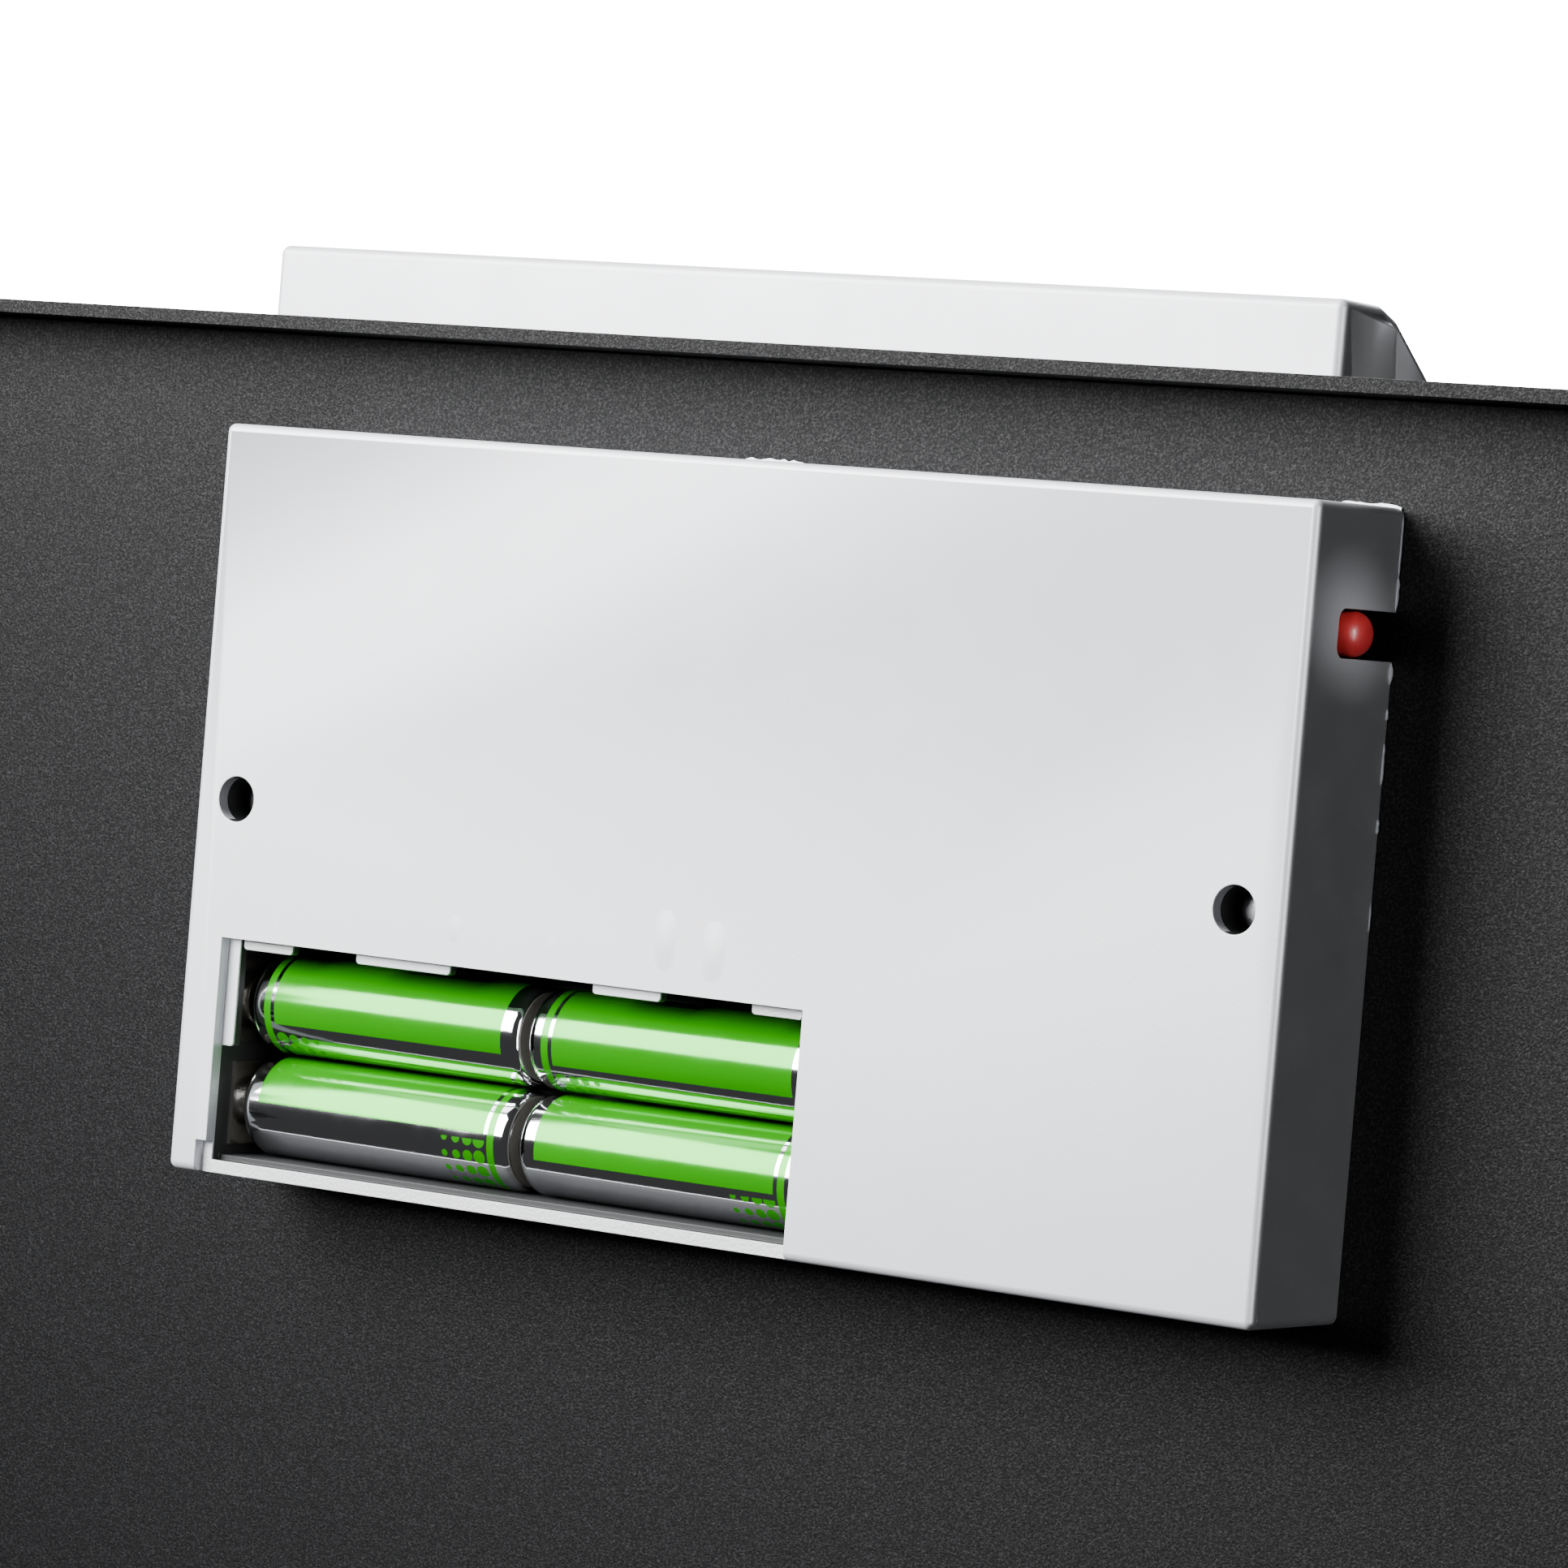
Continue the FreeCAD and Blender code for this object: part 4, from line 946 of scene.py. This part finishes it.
def screw_shape(head_radius, head_height, shank_radius, shank_length):
    """A pan-head screw: its head's underside at z 0, its shank below."""
    return lathe([
        (0, -shank_length), (shank_radius * 0.6, -shank_length),
        (shank_radius, -shank_length + shank_radius), (shank_radius, 0), (head_radius * 0.96, 0),
        (head_radius, head_height * 0.2), (head_radius * 0.96, head_height * 0.6),
        (head_radius * 0.8, head_height * 0.88), (head_radius * 0.5, head_height * 0.98),
        (0, head_height)], 40)


class SAFE_OT_screws(SafeStep, bpy.types.Operator):
    """Place the cross-head screws of the cover, the housing and the console"""
    bl_idname = "safe.screws"
    bl_label = "Screws"

    def execute(self, context):
        zinc = finish_named("zinc")
        for node, head, height, shank in (
                ("housing_screws", 2.9, 1.9, 1.5), ("cover_screws", 3.1, 1.55, 1.5),
                ("console_screws", 3.5, 2.1, 1.9)):
            self.place(node, head * MM, height * MM, shank * MM, zinc)
        return {"FINISHED"}

    def place(self, node, head, height, shank, material):
        """Screws at the middle of each of a node's solids, joined as one piece."""
        axis = -INTO
        side = UP.cross(axis).normalized()
        length = extent(node, INTO) - height
        crown = span(node, INTO)[0]
        first_turn, next_turn = 0.4, 0.7
        # painted shade: black boxes stand for the dark cross recesses
        recess = self.cross(head, height)
        shape = bmesh.new()
        for index, middle in enumerate(solid_middles(node)):
            screw = mesh_from("one_screw", screw_shape(head, height, shank, length))
            spin = Matrix.Rotation(first_turn + next_turn * index, 4, "Z")
            place = stood(axis, side, moved_to(middle, INTO, crown + height)) @ spin
            for part in (screw, recess.copy()):
                part.transform(place)
                shape.from_mesh(part)
                bpy.data.meshes.remove(part)
        made = piece_from(node + "_driven", shape, material, finish_named("black"))
        smooth_by_angle(made, 40)
        keep(made, node)

    def cross(self, head, height):
        """Black boxes in the shape of a cross recess, just proud of the head's crown: painted shade where the
        recess would be.
        """
        shape = bmesh.new()
        for turn in (0, math.pi / 2):
            made = bmesh.ops.create_cube(shape, size=1, matrix=(
                Matrix.Translation((0, 0, height * 0.62)) @ Matrix.Rotation(turn, 4, "Z")
                @ Matrix.Diagonal((head * 1.05, head * 0.24, height * 0.72, 1))))
            for vertex in made["verts"]:
                for face in vertex.link_faces:
                    face.material_index = 1
        return mesh_from("cross_recess", shape)


def round_nose(radius, length, nose):
    """A pin's outline with its far end rounded over by nose and its near edge broken."""
    arc = [
        (radius - nose + nose * math.cos(t), length - nose + nose * math.sin(t))
        for t in (i * math.pi / 16 for i in range(9))
    ]
    return [(0, 0), (radius - 0.3 * MM, 0), (radius, 0.3 * MM)] + arc + [(0, length)]


class SAFE_OT_bolts_and_button(SafeStep, bpy.types.Operator):
    """Turn the locking bolts and the domed reset button"""
    bl_idname = "safe.bolts_and_button"
    bl_label = "Bolts and button"

    def execute(self, context):
        for node in ("locking_bolt_lower", "locking_bolt_upper"):
            self.turn(node, 1.6 * MM, "steel")
        self.turn("reset_button", 2.4 * MM, "button")
        return {"FINISHED"}

    def turn(self, node, nose, finish):
        """A round piece along the door whose far end is rounded."""
        shape = lathe(round_nose(extent(node, INTO) / 2, extent(node, ALONG), nose), 56)
        shape.transform(stood(ALONG, UP, moved_to(centre(node), ALONG, span(node, ALONG)[0])))
        made = piece_from(node + "_turned", shape, finish_named(finish))
        smooth_by_angle(made, 50)
        keep(made, node)


class SAFE_OT_knob(SafeStep, bpy.types.Operator):
    """Build the knob: a ribbed skirt, a domed cap and a finger bar"""
    bl_idname = "safe.knob"
    bl_label = "Knob"

    def execute(self, context):
        out_low, out_high = span("knob", INTO)
        height = out_high - out_low
        radius = extent("knob", UP) / 2
        place = turned(UP.cross(INTO), UP, INTO, moved_to(centre("knob"), INTO, out_low))
        skirt = 7.4 * MM
        rib = 0.7 * MM

        def ribs(tree, start):
            bar = add_node(tree, "GeometryNodeMeshCube", {
                "Size": (2 * rib, 1.4 * rib, skirt - 1.6 * MM)})
            return ring_of(tree, start.outputs["Ribs"], start.outputs["Radius"], bar.outputs[0])

        grip = nodes_mesh("knob_ribs", ribs, {
            "Ribs": context.scene.safe_sizes.knob_ribs, "Radius": radius - 1.1 * rib},
            finish_named("knob"))
        grip.data.transform(place @ Matrix.Translation((0, 0, skirt / 2)))
        keep(grip, "knob", False)

        core = radius - rib
        shape = lathe([
            (0, 0.2 * MM), (core - 1 * MM, 0), (core, 0.6 * MM), (core, skirt - 1 * MM),
            (core - 0.5 * MM, skirt - 0.3 * MM), (core - 1.5 * MM, skirt),
            (core - 3 * MM, skirt - 0.3 * MM), (core - 4 * MM, skirt - 0.9 * MM),
            (0, skirt - 0.9 * MM)], 72)
        shape.transform(place)
        skirt_piece = piece_from("knob_skirt", shape, finish_named("knob"))
        smooth_by_angle(skirt_piece, 50)
        keep(skirt_piece, "knob")

        sunk, width, narrowed, shortened = 2 * MM, 8.4 * MM, 0.72, 0.94
        bar = bmesh.new()
        bmesh.ops.create_cube(bar, size=1, matrix=(
            Matrix.Translation((0, 0, (height + skirt - sunk) / 2))
            @ Matrix.Diagonal((2 * core - 3 * MM, width, height - skirt + sunk, 1))))
        for vertex in bar.verts:
            if vertex.co.z > skirt:
                vertex.co.y *= narrowed
                vertex.co.x *= shortened
        bar.transform(place)
        finger = piece_from("knob_finger_bar", bar, finish_named("knob"))
        round_edges(finger, 1.6 * MM, 5)
        finger.data.shade_smooth()
        keep(finger, "knob", False)
        return {"FINISHED"}


LEGENDS = {str(digit): str(digit) for digit in (1, 2, 3, 4, 5, 6, 7, 8, 9, 0)}
LEGENDS.update(clear="*", enter="#")


class SAFE_OT_keypad(SafeStep, bpy.types.Operator):
    """Round the keys, their panel and the lock's flap, and print the digits"""
    bl_idname = "safe.keypad"
    bl_label = "Keypad"

    def execute(self, context):
        sizes = context.scene.safe_sizes
        eased_copy("keypad_panel", "keypad_frame", 0.35 * MM, finish_named("black"), 2)
        eased_copy("lock_flap", "lock_flap_painted", 0.5 * MM, finish_named("knob"), 3)
        for key, legend in LEGENDS.items():
            node = "key_" + key
            eased_copy(node, node + "_moulded", sizes.key_round, finish_named("key"), 3)
            self.print_legend(node, legend, sizes.legend_height)
        return {"FINISHED"}

    def print_legend(self, node, legend, height):
        """One digit, inked on the top of its key."""
        text = bpy.data.curves.new(node + "_legend", "FONT")
        text.body = legend
        text.size = height * 1.4
        text.align_x = "CENTER"
        text.align_y = "CENTER"
        text.extrude = 0.03 * MM
        data = final_mesh(linked(node + "_legend_source", text))
        made = linked(node + "_legend", data)
        data.materials.clear()
        data.materials.append(finish_named("legend"))
        middle = middle_of([v.co for v in data.vertices])
        data.transform(Matrix.Translation((-middle.x, -middle.y, 0)))
        origin = moved_to(centre(node), INTO, span(node, INTO)[1])
        data.transform(turned(UP.cross(INTO), UP, INTO, origin))
        keep(made, node, False)


class SAFE_OT_floor_mat(SafeStep, bpy.types.Operator):
    """Cut the felt mat with rounded corners and lay it on the floor of the box"""
    bl_idname = "safe.floor_mat"
    bl_label = "Floor mat"

    def execute(self, context):
        low, high = node_box("floor_mat")
        half, middle = (high - low) / 2, (low + high) / 2
        corner, sink, wave = 9 * MM, 0.25 * MM, 0.18 * MM
        shape = bmesh.new()
        bmesh.ops.create_grid(shape, x_segments=90, y_segments=32, size=0.5)
        for vertex in shape.verts:
            x, y = vertex.co.x * 2 * half.x, vertex.co.y * 2 * half.y
            over_x = max(0.0, abs(x) - half.x + corner)
            over_y = max(0.0, abs(y) - half.y + corner)
            out = math.hypot(over_x, over_y)
            if out > corner:
                x -= math.copysign(over_x * (1 - corner / out), x)
                y -= math.copysign(over_y * (1 - corner / out), y)
            lift = wave * math.sin(x * 61) * math.sin(y * 47)
            vertex.co = Vector((middle.x + x, middle.y + y, high.z - sink + lift))
        made = piece_from("felt_mat", shape, finish_named("felt"))
        made.data.shade_smooth()
        thickness = made.modifiers.new("thickness", "SOLIDIFY")
        thickness.thickness = 2 * half.z * 0.8
        thickness.offset = -1
        keep(made, "floor_mat")
        return {"FINISHED"}


# ---- the studio ----

VIEW_ALONG = 783.31 * MM
VIEW_OUT = 819.09 * MM
VIEW_RISE = 87.70 * MM
VIEW_YAW = math.radians(35.594)
VIEW_PITCH = math.radians(1.668)
VIEW_ROLL = math.radians(-4.698)
VIEW_LENS = 161.06
SKY_STRENGTH = 0.05
BEAM_WIDTH = math.radians(1)
BEAM_FROM = (0.35, 0.55, 0.12)
# Name, setting, places out from the door's face, along it and up, width and height in metres.
SOFT_LIGHTS = (
    ("key_light", "key_power", 0.75, -0.55, 0.42, 0.75, 0.75),
    ("top_light", "rim_power", 0.15, -0.35, 0.95, 0.5, 0.9),
    ("edge_light", "edge_power", 0.50, 0.85, 0.0, 0.30, 0.9),
    ("front_light", "front_power", -0.9, -0.5, 0.7, 0.8, 0.8),
)


class SAFE_OT_stage(SafeStep, bpy.types.Operator):
    """Set the floor, the surroundings, the lights and the camera"""
    bl_idname = "safe.stage"
    bl_label = "Stage"

    def execute(self, context):
        light = context.scene.safe_light
        self.lay_floor(light)
        self.light_surroundings(light.backdrop)
        door = centre("battery_housing")
        face = -INTO
        for name, setting, out, along, rise, width, height in SOFT_LIGHTS:
            made = self.lamp(
                name, "AREA", door + face * out + ALONG * along + UP * rise, door,
                getattr(light, setting), shape="RECTANGLE", size=width, size_y=height)
            made.visible_diffuse = name != "edge_light"
        button, (out, along, rise) = centre("reset_button"), BEAM_FROM
        self.lamp("button_light", "SPOT", button + face * out + ALONG * along + UP * rise,
                  button, light.button_power, spot_size=BEAM_WIDTH, spot_blend=0.3,
                  shadow_soft_size=6 * MM)
        self.place_camera()
        return {"FINISHED"}

    def lay_floor(self, light):
        """A wide pale floor under the safe."""
        level = CAD_BOX[0][2] - 2 * MM
        shape = bmesh.new()
        bmesh.ops.create_grid(shape, x_segments=1, y_segments=1, size=6)
        bmesh.ops.translate(shape, verts=shape.verts, vec=(0, 0, level))
        stone = Finish("studio_floor")
        stone.set(Base_Color=light.floor_colour[:], Roughness=0.7)
        floor = piece_from("studio_floor", shape, stone.material)
        floor.visible_diffuse = floor.visible_glossy = False

    def light_surroundings(self, strength):
        """An even white world; what lights the safe is dimmer than what shows behind it."""
        world = bpy.data.worlds.new("studio")
        bpy.context.scene.world = world
        world.use_nodes = True
        tree = world.node_tree
        sky = tree.nodes["Background"]
        feed(tree, sky.inputs["Color"], (1, 1, 1))
        feed(tree, sky.inputs["Strength"], SKY_STRENGTH)
        seen = add_node(tree, "ShaderNodeBackground", {
            "Color": (1, 1, 1), "Strength": strength})
        path = add_node(tree, "ShaderNodeLightPath")
        both = add_node(tree, "ShaderNodeMixShader", {
            0: path.outputs["Is Camera Ray"], 1: sky.outputs[0], 2: seen.outputs[0]})
        feed(tree, tree.nodes["World Output"].inputs[0], both.outputs[0])

    def lamp(self, name, kind, place, target, power, **values):
        """A light that faces its target; values are the light's other properties."""
        data = bpy.data.lights.new(name, kind)
        data.energy = power
        for key, value in values.items():
            setattr(data, key, value)
        made = linked(name, data)
        made.location = place
        made.rotation_euler = (target - place).to_track_quat("-Z", "Y").to_euler()
        return made

    def place_camera(self):
        """The camera looks at the open door's inner side from beyond its free edge."""
        ahead = door_point(-math.sin(VIEW_YAW) * math.cos(VIEW_PITCH),
                           math.cos(VIEW_YAW) * math.cos(VIEW_PITCH), -math.sin(VIEW_PITCH))
        right = door_point(math.cos(VIEW_YAW), math.sin(VIEW_YAW), 0)
        down = ahead.cross(right)
        side = right * math.cos(VIEW_ROLL) + down * math.sin(VIEW_ROLL)
        lower = down * math.cos(VIEW_ROLL) - right * math.sin(VIEW_ROLL)
        data = bpy.data.cameras.new("view")
        data.sensor_width = 36
        data.lens = VIEW_LENS
        data.clip_start = 0.01
        data.clip_end = 50
        camera = linked("view", data)
        place = HINGE + door_point(VIEW_ALONG, -VIEW_OUT, VIEW_RISE)
        camera.matrix_world = turned(side, -lower, -ahead, place)
        bpy.context.scene.camera = camera


# ---- the add-on's panel, its registration and the run ----

OPERATORS = (
    SAFE_OT_sheet_metal, SAFE_OT_silver_covers, SAFE_OT_hardware, SAFE_OT_cells,
    SAFE_OT_contact_springs, SAFE_OT_screws, SAFE_OT_bolts_and_button, SAFE_OT_knob,
    SAFE_OT_keypad, SAFE_OT_floor_mat, SAFE_OT_stage,
)


class SAFE_PT_panel(bpy.types.Panel):
    """The steps that finish the safe"""
    bl_idname = "SAFE_PT_panel"
    bl_label = "Wall Safe"
    bl_space_type = "VIEW_3D"
    bl_region_type = "UI"
    bl_category = "Wall Safe"

    def draw(self, context):
        for operator in OPERATORS:
            self.layout.operator(operator.bl_idname)
        for group_name, group in SETTINGS.items():
            for name in group.__annotations__:
                self.layout.prop(getattr(context.scene, group_name), name)


CLASSES = (*SETTINGS.values(), *OPERATORS, SAFE_PT_panel)


def register():
    for item in CLASSES:
        bpy.utils.register_class(item)
    for name, group in SETTINGS.items():
        setattr(bpy.types.Scene, name, bpy.props.PointerProperty(type=group))


def unregister():
    for name in SETTINGS:
        delattr(bpy.types.Scene, name)
    for item in reversed(CLASSES):
        bpy.utils.unregister_class(item)


def main():
    """Run every step in order."""
    register()
    for operator in OPERATORS:
        group, name = operator.bl_idname.split(".")
        getattr(getattr(bpy.ops, group), name)()


if __name__ == "__main__":
    main()
